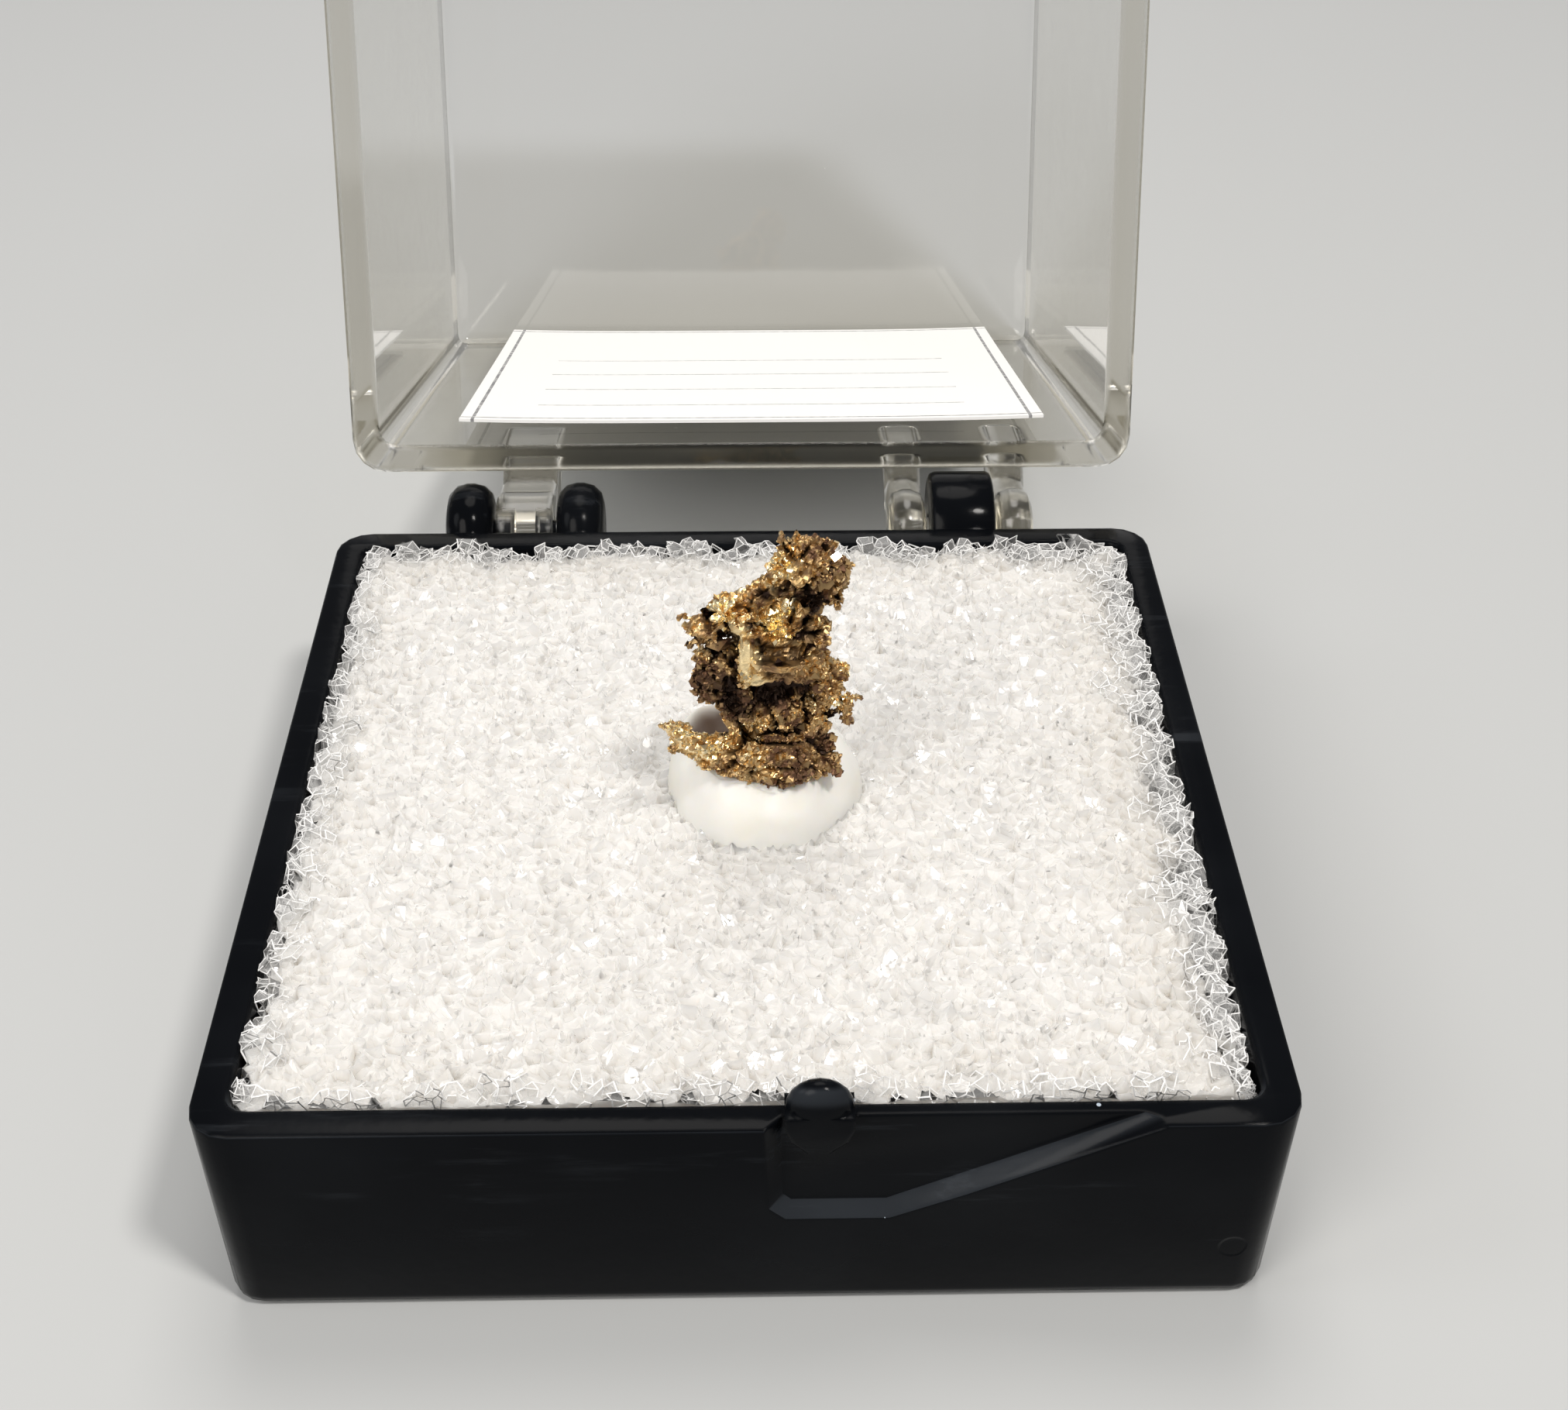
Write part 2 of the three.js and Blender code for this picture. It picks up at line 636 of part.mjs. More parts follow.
// The lumps that are pressed into the putty, grown so that they leave a gap all round.
function puttySeat() {
  const pressed = lumps.filter((lump) => lump.at[2] < puttySeatTop);
  return pressed.map((lump) => {
    const geometry = new THREE.SphereGeometry(1, 12, 8);
    const reach = lump.reach.map((length) => length * mostPush + clearance);
    geometry.applyMatrix4(lumpMatrix({ ...lump, reach }));
    return toSolid(geometry);
  });
}

function makePutty() {
  const pressed = puttySeat().reduce((lump, seat) => lump.subtract(seat), toSolid(puttyDome()));
  return outerBody(pressed).translate(0, 0, trayHeight);
}

// ---------------------------------------------------------------- assembly

const blackPlastic = new THREE.MeshStandardMaterial({ color: 0x0b0c0f, roughness: 0.18, metalness: 0 });
const clearPlastic = new THREE.MeshStandardMaterial({
  color: 0xf0f3f0,
  roughness: 0.08,
  metalness: 0,
  transparent: true,
  opacity: 0.35,
});
const foamWhite = new THREE.MeshStandardMaterial({ color: 0xe8e6e6, roughness: 0.55, metalness: 0 });
const puttyCream = new THREE.MeshStandardMaterial({ color: 0xeee8dc, roughness: 0.5, metalness: 0 });
const nativeMetal = new THREE.MeshStandardMaterial({ color: 0x9a7338, roughness: 0.35, metalness: 1 });
const labelPaper = new THREE.MeshStandardMaterial({ color: 0xf4f2ee, roughness: 0.9, metalness: 0 });

const swungLid = new THREE.Group();
swungLid.position.set(0, hingeY, hingeZ);
swungLid.rotation.x = -openAngle();
swungLid.add(
  toMesh('clear_lid', makeLid(), clearPlastic),
  toMesh('paper_label', makeLabel(), labelPaper),
);

const displayBox = new THREE.Group();
displayBox.add(
  toMesh('base_tray', makeTray(), blackPlastic),
  toMesh('foam_insert', makeFoam(), foamWhite),
  toMesh('mineral_putty', makePutty(), puttyCream),
  toMesh('native_metal_specimen', makeSpecimen(), nativeMetal),
  swungLid,
);

export default displayBox;
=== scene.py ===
import math
from itertools import permutations, product

import bpy
import numpy as np
from mathutils import Matrix, Vector, noise
from mathutils.bvhtree import BVHTree
from mathutils.kdtree import KDTree


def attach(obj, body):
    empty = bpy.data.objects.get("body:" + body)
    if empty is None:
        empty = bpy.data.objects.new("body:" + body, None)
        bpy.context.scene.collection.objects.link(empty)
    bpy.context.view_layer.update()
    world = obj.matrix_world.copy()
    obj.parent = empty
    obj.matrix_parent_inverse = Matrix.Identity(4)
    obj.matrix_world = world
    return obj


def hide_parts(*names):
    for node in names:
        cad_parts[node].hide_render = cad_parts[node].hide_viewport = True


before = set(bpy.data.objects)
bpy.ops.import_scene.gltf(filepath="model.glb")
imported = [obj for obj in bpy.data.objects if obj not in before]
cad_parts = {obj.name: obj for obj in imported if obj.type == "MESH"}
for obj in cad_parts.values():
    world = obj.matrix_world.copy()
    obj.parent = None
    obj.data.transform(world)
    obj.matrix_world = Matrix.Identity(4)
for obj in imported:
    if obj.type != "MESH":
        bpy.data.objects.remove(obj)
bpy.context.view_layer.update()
print("frame loaded:", ", ".join(sorted(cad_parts)))

noise.seed_set(9)  # the meshes' noise is then the same each run

# every length below is in millimetres and turned to metres when a mesh is made
mm = 0.001
rimHeight = 7.8
hingeLine = Vector((0, 18.15, 6.5))
lidSwing = math.radians(108.21)  # how far the lid has fallen open


# helpers for materials

def newMaterial(name):
    material = bpy.data.materials.new(name)
    material.use_nodes = True
    return material, material.node_tree, material.node_tree.nodes["Principled BSDF"]


# Gives each named or numbered input its plain value, or the socket that feeds it.
def setInputs(tree, node, values):
    for key, value in values.items():
        if isinstance(value, bpy.types.NodeSocket):
            tree.links.new(value, node.inputs[key])
        else:
            node.inputs[key].default_value = value


def addNode(tree, kind, values, **settings):
    node = tree.nodes.new(kind)
    for name, value in settings.items():
        setattr(node, name, value)
    setInputs(tree, node, values)
    return node.outputs


# Joins the values one after another by the operation. The clamp holds for the last one.
def mathNode(tree, operation, first, *others, clamp=False):
    result = first
    for k, value in enumerate(others or (0.5,), 1):
        settings = {"operation": operation, "use_clamp": clamp and k == len(others)}
        result = addNode(tree, "ShaderNodeMath", {0: result, 1: value}, **settings)["Value"]
    return result


def mixColor(tree, factor, first, second, blend="MIX"):
    values = {0: factor, 6: first, 7: second}
    return addNode(tree, "ShaderNodeMix", values, data_type="RGBA", blend_type=blend)[2]


def mapRange(tree, value, low, high, toLow=0.0, toHigh=1.0):
    values = {"Value": value, "From Min": low, "From Max": high, "To Min": toLow, "To Max": toHigh}
    return addNode(tree, "ShaderNodeMapRange", values, interpolation_type="SMOOTHSTEP")["Result"]


def noiseNode(tree, vector, scale, detail=3.0, roughness=0.5):
    values = {"Vector": vector, "Scale": scale, "Detail": detail, "Roughness": roughness}
    return addNode(tree, "ShaderNodeTexNoise", values)["Fac"]


def bumpNode(tree, height, strength, distance, **under):
    values = {"Height": height, "Strength": strength, "Distance": distance, **under}
    return addNode(tree, "ShaderNodeBump", values)["Normal"]


# The surface's direction with its edges rounded off.
def softEdges(tree, radius):
    return addNode(tree, "ShaderNodeBevel", {"Radius": radius * mm}, samples=12)["Normal"]


def objectCoords(tree):
    return addNode(tree, "ShaderNodeTexCoord", {})["Object"]


def splitVector(tree, vector):
    return addNode(tree, "ShaderNodeSeparateXYZ", {"Vector": vector})


def attributeValue(tree, name):
    return addNode(tree, "ShaderNodeAttribute", {}, attribute_name=name)["Fac"]


def useGroup(tree, group, values):
    return addNode(tree, "ShaderNodeGroup", values, node_tree=group)[0]


# A shared effect: its named inputs with their usual values, and one output.
def newGroup(name, inputs, output):
    group = bpy.data.node_groups.new(name, "ShaderNodeTree")
    for label, value in inputs.items():
        kind = "NodeSocketFloat" if isinstance(value, float) else "NodeSocketVector"
        socket = group.interface.new_socket(name=label, in_out="INPUT", socket_type=kind)
        if value is not None:
            socket.default_value = value
    group.interface.new_socket(name=output, in_out="OUTPUT", socket_type="NodeSocketFloat")
    return group, group.nodes.new("NodeGroupInput").outputs, group.nodes.new("NodeGroupOutput")


# sparse round specks of dust: a few cells of a fine cell pattern hold one, each of its own size
def makeDustGroup():
    inputs = {"Vector": None, "Scale": 900.0, "Amount": 0.1, "Size": 0.2}
    group, given, end = newGroup("dustSpecks", inputs, "Mask")
    cells = addNode(group, "ShaderNodeTexVoronoi", {"Vector": given["Vector"], "Scale": given["Scale"]})
    pick = addNode(group, "ShaderNodeSeparateColor", {"Color": cells["Color"]})
    chosen = mathNode(group, "LESS_THAN", pick["Red"], given["Amount"])
    radius = mathNode(group, "MULTIPLY", pick["Green"], given["Size"])
    inside = mathNode(group, "LESS_THAN", cells["Distance"], radius)
    setInputs(group, end, {"Mask": mathNode(group, "MULTIPLY", chosen, inside)})
    return group


# long fine rubs in one direction, broken up so that they come in patches
def makeScuffGroup():
    inputs = {"Vector": None, "Scale": 60.0, "Stretch": (1.0, 9.0, 9.0), "Cover": 0.5}
    group, given, end = newGroup("fineScuffs", inputs, "Mask")
    values = {0: given["Vector"], 1: given["Stretch"]}
    drawn = addNode(group, "ShaderNodeVectorMath", values, operation="MULTIPLY")
    rub = noiseNode(group, drawn["Vector"], given["Scale"], 6, 0.65)
    patch = noiseNode(group, given["Vector"], 150, 2)
    thin = mapRange(group, rub, 0.56, 0.7)
    spread = mapRange(group, patch, 0.4, 0.62)
    setInputs(group, end, {"Mask": mathNode(group, "MULTIPLY", thin, spread, given["Cover"], clamp=True)})
    return group


# the slight unevenness of a moulded or hand-pressed surface
def makeUnevenGroup():
    inputs = {"Vector": None, "Broad": 200.0, "Fine": 2500.0, "Fine Share": 0.2}
    group, given, end = newGroup("unevenSkin", inputs, "Height")
    broad, fine = (noiseNode(group, given["Vector"], given[label], 2) for label in ("Broad", "Fine"))
    shared = mathNode(group, "MULTIPLY", fine, given["Fine Share"])
    setInputs(group, end, {"Height": mathNode(group, "ADD", broad, shared)})
    return group


dustSpecks = makeDustGroup()
fineScuffs = makeScuffGroup()
unevenSkin = makeUnevenGroup()


# helpers for meshes

def makePiece(name, points, faces, material, values=None, smooth=False):
    mesh = bpy.data.meshes.new(name)
    mesh.from_pydata((np.asarray(points) * mm).tolist(), [], faces)
    mesh.polygons.foreach_set("use_smooth", [smooth] * len(mesh.polygons))
    mesh.materials.append(material)
    mesh.update()
    for label, numbers in (values or {}).items():
        layer = mesh.attributes.new(label, "FLOAT", "POINT")
        layer.data.foreach_set("value", np.asarray(numbers, dtype=np.float32))
    piece = bpy.data.objects.new(name, mesh)
    bpy.context.collection.objects.link(piece)
    return piece


def triangleCorners(mesh):
    mesh.calc_loop_triangles()
    triangles = np.empty(len(mesh.loop_triangles) * 3, dtype=int)
    mesh.loop_triangles.foreach_get("vertices", triangles)
    return triangles.reshape(-1, 3)


def smoothStep(low, high, value):
    share = np.clip((value - low) / (high - low), 0, 1)
    return share * share * (3 - 2 * share)


# The specimen's solid in millimetres, for distances from it.
def metalTree():
    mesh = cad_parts["native_metal_specimen"].data
    points = [tuple(vertex.co / mm) for vertex in mesh.vertices]
    return BVHTree.FromPolygons(points, triangleCorners(mesh).tolist())


# Each entry of a closed ring with the one after it, for one ring or for several of one length together.
def pairs(*rings):
    return zip(*(part for ring in rings for part in (ring, [*ring[1:], ring[0]])))


# camera, floor and lights

viewing = {
    "position": Vector((0.097, -59.105, 54.687)),
    "pitch": math.radians(36.505),  # down from level
    "yaw": math.radians(1.183),
    "roll": math.radians(0.179),
    "lens": 50.81,
}


def placeCamera():
    pitch, yaw, roll = viewing["pitch"], viewing["yaw"], viewing["roll"]
    ahead = Vector((math.sin(yaw) * math.cos(pitch), math.cos(yaw) * math.cos(pitch), -math.sin(pitch)))
    level = Vector((math.cos(yaw), -math.sin(yaw), 0))
    above = level.cross(ahead)
    right = level * math.cos(roll) + above * math.sin(roll)
    up = above * math.cos(roll) - level * math.sin(roll)
    data = bpy.data.cameras.new("viewCamera")
    data.sensor_width = 36
    data.lens = viewing["lens"]
    data.clip_start = 0.002
    camera = bpy.data.objects.new("viewCamera", data)
    turned = Matrix((right, up, -ahead)).transposed().to_4x4()
    camera.matrix_world = Matrix.Translation(viewing["position"] * mm) @ turned
    bpy.context.collection.objects.link(camera)
    bpy.context.scene.camera = camera


studio = {
    "floorHalf": 1500,
    "floorColor": (0.53, 0.54, 0.54, 1),
    "skyColor": (0.95, 0.96, 1.0, 1),
    "skyStrength": 0.2,
    # name: position, size, power in watts, colour
    "lamps": {
        "overhead": ((115, -118, 305), 48, 0.6, (1.0, 0.965, 0.92)),
        "behind": ((0, 125, 325), 190, 0.4, (1.0, 0.965, 0.92)),
        "backdrop": ((0, 330, 130), 250, 0.13, (1.0, 0.97, 0.93)),
        "fillLeft": ((-240, -40, 190), 120, 0.1, (0.96, 0.98, 1.0)),
        "fillFront": ((-150, -187, 228), 160, 0.42, (1.0, 0.96, 0.91)),
    },
}


def makeStudio():
    bpy.context.scene.view_settings.view_transform = "Standard"
    material, tree, shader = newMaterial("paleFloor")
    setInputs(tree, shader, {"Base Color": studio["floorColor"], "Roughness": 0.8})
    half = studio["floorHalf"]
    corners = [(-half, -half, 0), (half, -half, 0), (half, half, 0), (-half, half, 0)]
    floor = makePiece("studioFloor", corners, [(0, 1, 2, 3)], material)

    world = bpy.data.worlds.new("studioSky")
    world.use_nodes = True
    sky = world.node_tree.nodes["Background"]
    sky.inputs["Color"].default_value = studio["skyColor"]
    sky.inputs["Strength"].default_value = studio["skyStrength"]
    bpy.context.scene.world = world

    for name, (position, size, power, color) in studio["lamps"].items():
        data = bpy.data.lights.new(name, "AREA")
        data.shape = "DISK"
        data.size = size * mm
        data.energy = power
        data.color = color
        lamp = bpy.data.objects.new(name, data)
        place = Vector(position)
        turned = place.to_track_quat("Z", "Y").to_matrix().to_4x4()  # every lamp faces the tray
        lamp.matrix_world = Matrix.Translation(place * mm) @ turned
        bpy.context.collection.objects.link(lamp)


# black tray

tray = {
    "color": (0.003, 0.0035, 0.0046, 1),
    "dustColor": (0.44, 0.5, 0.58, 1),
    "specks": [(1500.0, 0.03, 0.12), (1000.0, 0.06, 0.08)],  # pattern scale, share of its cells, size
    "film": 0.006,
    "settledDustAndSheen": 0.055,  # dust and painted sheen on the slanted face of the thumb recess
    "recess": (-14, -15),  # toward the front, that dust and painted sheen fade in between these
    "roughness": (0.12, 0.24),
    "scuffed": 0.25,
    "shine": 0.055,
    "edgeRound": 0.2,
    "sharpest": 32,  # flats that meet at less than this many degrees belong to one round face
    "ejector": ((14.47, -16, 2.32), 0.42, 0.52),  # faint round mark of the mould: middle and radii
}


def blackPlastic():
    material, tree, shader = newMaterial("blackPlastic")
    place = objectCoords(tree)
    specks = [useGroup(tree, dustSpecks, {"Vector": place, "Scale": scale, "Amount": amount, "Size": size})
              for scale, amount, size in tray["specks"]]
    dust = mathNode(tree, "MAXIMUM", *specks)
    scuffs = useGroup(tree, fineScuffs, {"Vector": place, "Scale": 90.0, "Cover": 1.0})
    haze = noiseNode(tree, place, 120, 4)
    film = mapRange(tree, haze, 0.4, 0.75, 0.0, tray["film"])
    worn = mathNode(tree, "MULTIPLY", scuffs, 0.03)
    # faces that slant upward, in the recess, are lightened: settled dust and a painted sheen
    facing = splitVector(tree, addNode(tree, "ShaderNodeNewGeometry", {})["Normal"])["Z"]
    upward = mapRange(tree, facing, 0.2, 0.45, 0.0, tray["settledDustAndSheen"])
    level = mapRange(tree, facing, 0.7, 0.92, 1.0, 0.0)
    begins, ends = tray["recess"]
    front = mapRange(tree, splitVector(tree, place)["Y"], begins * mm, ends * mm)
    settledDustAndSheen = mathNode(tree, "MULTIPLY", upward, level, front, mapRange(tree, haze, 0.3, 0.7, 0.5, 1.0))
    cover = mathNode(tree, "ADD", film, worn, settledDustAndSheen, dust, clamp=True)
    hazed = mapRange(tree, haze, 0.4, 0.8, *tray["roughness"])
    rough = mathNode(tree, "MULTIPLY", scuffs, tray["scuffed"])
    skin = useGroup(tree, unevenSkin, {"Vector": place, "Broad": 90.0, "Fine": 1800.0})
    middle, inside, outside = tray["ejector"]
    away = addNode(tree, "ShaderNodeVectorMath", {0: place, 1: Vector(middle) * mm}, operation="DISTANCE")
    mark = mapRange(tree, away["Value"], inside * mm, outside * mm, 0.0, 0.8)
    height = mathNode(tree, "ADD", skin, mark)
    setInputs(tree, shader, {
        "Base Color": mixColor(tree, cover, tray["color"], tray["dustColor"]),
        "Roughness": mathNode(tree, "ADD", hazed, rough, dust, clamp=True),
        "Normal": bumpNode(tree, height, 0.25, 0.00012, Normal=softEdges(tree, tray["edgeRound"])),
        "IOR": 1.5,
        "Specular IOR Level": tray["shine"],
    })
    return material


# Round parts are modelled in flats; this lets the light pass smoothly over all but the real edges.
def smoothFlats(name, sharpest):
    group = bpy.data.node_groups.new("smooth_" + name, "GeometryNodeTree")
    for way in ("INPUT", "OUTPUT"):
        group.interface.new_socket(name="Geometry", in_out=way, socket_type="NodeSocketGeometry")
    angle = addNode(group, "GeometryNodeInputMeshEdgeAngle", {})["Unsigned Angle"]
    limit = {"A": angle, "B": math.radians(sharpest)}
    gentle = addNode(group, "FunctionNodeCompare", limit, operation="LESS_THAN")["Result"]
    geometry = group.nodes.new("NodeGroupInput").outputs["Geometry"]
    for kind, values, settings in (
            ("MergeByDistance", {"Distance": 0.00001 * mm}, {}),
            ("RemoveAttribute", {"Name": "custom_normal"}, {}),
            ("SetShadeSmooth", {}, {}),
            ("SetShadeSmooth", {"Shade Smooth": gentle}, {"domain": "EDGE"})):
        values["Geometry"] = geometry
        geometry = addNode(group, "GeometryNode" + kind, values, **settings)["Geometry"]
    setInputs(group, group.nodes.new("NodeGroupOutput"), {"Geometry": geometry})
    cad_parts[name].modifiers.new("smoothFlats", "NODES").node_group = group


# clear lid

lid = {
    "color": (0.985, 0.985, 0.98, 1),
    "tint": (0.86, 0.85, 0.80, 1),
    "density": 16.0,
    "roughness": 0.03,
    "edgeRound": 0.35,
    "mostBends": 2,  # light that has bent more often than this goes straight out, dimmed
    "trapped": (0.81, 0.795, 0.75, 1),
}


def clearPlastic():
    material, tree, shader = newMaterial("clearPlastic")
    place = objectCoords(tree)
    scuffs = useGroup(tree, fineScuffs, {"Vector": place, "Scale": 70.0, "Cover": 0.8})
    specks = useGroup(tree, dustSpecks, {"Vector": place, "Scale": 700.0, "Amount": 0.02, "Size": 0.1})
    rough = mathNode(tree, "MULTIPLY", scuffs, 0.12)
    dusty = mathNode(tree, "MULTIPLY", specks, 0.5)
    skin = useGroup(tree, unevenSkin, {"Vector": place, "Broad": 70.0, "Fine": 900.0, "Fine Share": 0.05})
    setInputs(tree, shader, {
        "Base Color": lid["color"],
        "Transmission Weight": 1.0,
        "IOR": 1.55,
        "Specular IOR Level": 0.35,
        "Roughness": mathNode(tree, "ADD", rough, dusty, lid["roughness"], clamp=True),
        "Normal": bumpNode(tree, skin, 0.2, 0.0001, Normal=softEdges(tree, lid["edgeRound"])),
    })
    # light that only passes through to what is behind goes straight on, so the lid throws a pale shadow
    rays = addNode(tree, "ShaderNodeLightPath", {})
    trapped = mathNode(tree, "GREATER_THAN", rays["Ray Depth"], lid["mostBends"])
    passing = mathNode(tree, "MAXIMUM", rays["Is Shadow Ray"], rays["Is Diffuse Ray"], trapped)
    straight = mixColor(tree, trapped, lid["color"], lid["trapped"])
    clear = addNode(tree, "ShaderNodeBsdfTransparent", {"Color": straight})["BSDF"]
    mixed = addNode(tree, "ShaderNodeMixShader", {0: passing, 1: shader.outputs["BSDF"], 2: clear})
    tint = addNode(tree, "ShaderNodeVolumeAbsorption", {"Color": lid["tint"], "Density": lid["density"]})
    setInputs(tree, tree.nodes["Material Output"], {"Surface": mixed["Shader"], "Volume": tint["Volume"]})
    return material


# foam insert

foam = {
    "half": 14.87,
    "cornerRadius": 0.66,
    "bottom": 1.7,
    "top": rimHeight + 0.1,
    "swell": (0.12, 3.0),  # how much and how broadly the top rises and sinks
    "cell": 0.5,
    "wander": 0.47,  # how far a cell's middle strays from its place in the pattern
    "neighbours": 24,
    "depth": (0.05, 0.21),
    "edgeDepth": (0.6, 0.2),  # this near the outline the cells have only this share of their depth
    "tilt": 0.42,
    "sparkle": (0.075, (-0.19, 0.73), 0.13),  # share of films that face the light, their tilt and its spread
    "tear": (-0.1, 0.1),
    "sag": 0.09,  # the most that a film's edge sags between its corners
    "uneven": (0.05, 0.01),  # roughness of the dull and the glossy films
    "ring": 0.64,
    # how far the block's torn top edge stands back from the tray's walls on each side
    "standBack": {"right": 0.95, "left": 0.4, "back": 0.85, "front": 0.04},
    "tornWaves": [(0.9, 1.1, 5.5), (0.5, 0.35, 1.5)],  # how it wanders in and out: share, spacing, seed
    "hem": 1.6,  # width of the border that is drawn in with it
    # the torn edge drops by this share of its standing back, but at least this much, over this width
    "drop": (0.5, 0.14, 0.6),
    "sides": (0.3, 0.8, 1.6, 3.2, 6.2),  # depths of the rings down the block's sides
    "shards": 5200,
    "shardWidth": (0.04, 0.12),
    "shardHeight": (0.08, 0.3),
    "film": (0.755, 0.743, 0.722, 1),
    "wall": (0.795, 0.78, 0.755, 1),
    "openFilm": (0.93, 0.93, 0.925, 1),
    "nearWalls": (0.9, 0.885, 0.86, 1),  # the black tray takes light from the foam's border
    # axis, side, where the darkening starts and how far it goes
    "borders": [(0, 1, 9.5, 1.0), (1, 1, 10.5, 0.9), (1, -1, 11.0, 0.5), (0, -1, 12.0, 0.4)],
    "seed": 11,
}


# The part of a polygon on the near side of a line.
def clippedPolygon(polygon, nx, ny, reach):
    kept = []
    for k, (x, y) in enumerate(polygon):
        px, py = polygon[k - 1]
        before, now = px * nx + py * ny - reach, x * nx + y * ny - reach
        if before * now < 0:
            share = before / (before - now)
            kept.append((px + share * (x - px), py + share * (y - py)))
        if now <= 0:
            kept.append((x, y))
    return kept


# The torn surface's cells: for each scattered point, the area nearer to it than to any other point.
def foamCells(rng):
    half, cell = foam["half"], foam["cell"]
    count = int(math.ceil(2 * half / cell)) + 4
    line = (np.arange(count) - (count - 1) / 2) * cell
    spots = np.stack(np.meshgrid(line, line, indexing="ij"), -1)
    spots = spots + rng.uniform(-foam["wander"], foam["wander"], spots.shape) * cell
    steps = [step for step in product(range(-3, 4), repeat=2) if any(step)]
    near = sorted(steps, key=lambda step: math.hypot(*step))[:foam["neighbours"]]
    cells = []
    for i, j in product(range(1, count - 1), repeat=2):
        x, y = spots[i, j]
        if max(abs(x), abs(y)) > half:
            continue
        polygon = [(x + 1.5 * a, y + 1.5 * b) for a, b in ((-1, -1), (1, -1), (1, 1), (-1, 1))]
        for stepI, stepJ in near:
            if not (0 <= i + stepI < count and 0 <= j + stepJ < count):
                continue
            otherX, otherY = spots[i + stepI, j + stepJ]
            reach = (otherX ** 2 + otherY ** 2 - x * x - y * y) / 2
            polygon = clippedPolygon(polygon, otherX - x, otherY - y, reach)
        for nx, ny in ((1, 0), (-1, 0), (0, 1), (0, -1)):
            polygon = clippedPolygon(polygon, nx, ny, half)
        cells.append((Vector((x, y)), polygon))
    return cells


def waver(x, y, size, seed):
    return noise.noise((x / size, y / size, seed))


def topHeight(x, y):
    height, spacing = foam["swell"]
    return foam["top"] + height * waver(x, y, spacing, 7.7)


# How far the torn edge stands back at a place on the border: it wanders in and out.
def tornBack(x, y):
    half = foam["half"]
    gaps = {"right": half - x, "left": half + x, "back": half - y, "front": half + y}
    side = min(gaps, key=gaps.get)
    wander = sum((share * waver(x, y, spacing, seed) for share, spacing, seed in foam["tornWaves"]), 0.8)
    return max(foam["standBack"][side] * wander, 0.02), gaps[side]


# Keeps a place inside the rounded corners of the tray.
def roundedIn(x, y):
    radius = foam["cornerRadius"]
    straight = foam["half"] - radius
    overX, overY = max(abs(x) - straight, 0), max(abs(y) - straight, 0)
    over = math.hypot(overX, overY)
    if over > radius:
        x -= math.copysign(overX * (1 - radius / over), x)
        y -= math.copysign(overY * (1 - radius / over), y)
    return x, y


def settledCorner(x, y, rng):
    back, gap = tornBack(x, y)
    pull = back * (1 - smoothStep(0.0, foam["hem"], gap))
    share, least, width = foam["drop"]
    z = topHeight(x, y) + rng.uniform(*foam["tear"])
    z -= max(share * back, least) * (1 - smoothStep(0.0, width, gap))
    moved = [value - math.copysign(pull, value) if foam["half"] - abs(value) < foam["hem"] else value
             for value in (x, y)]
    return (*roundedIn(*moved), z)


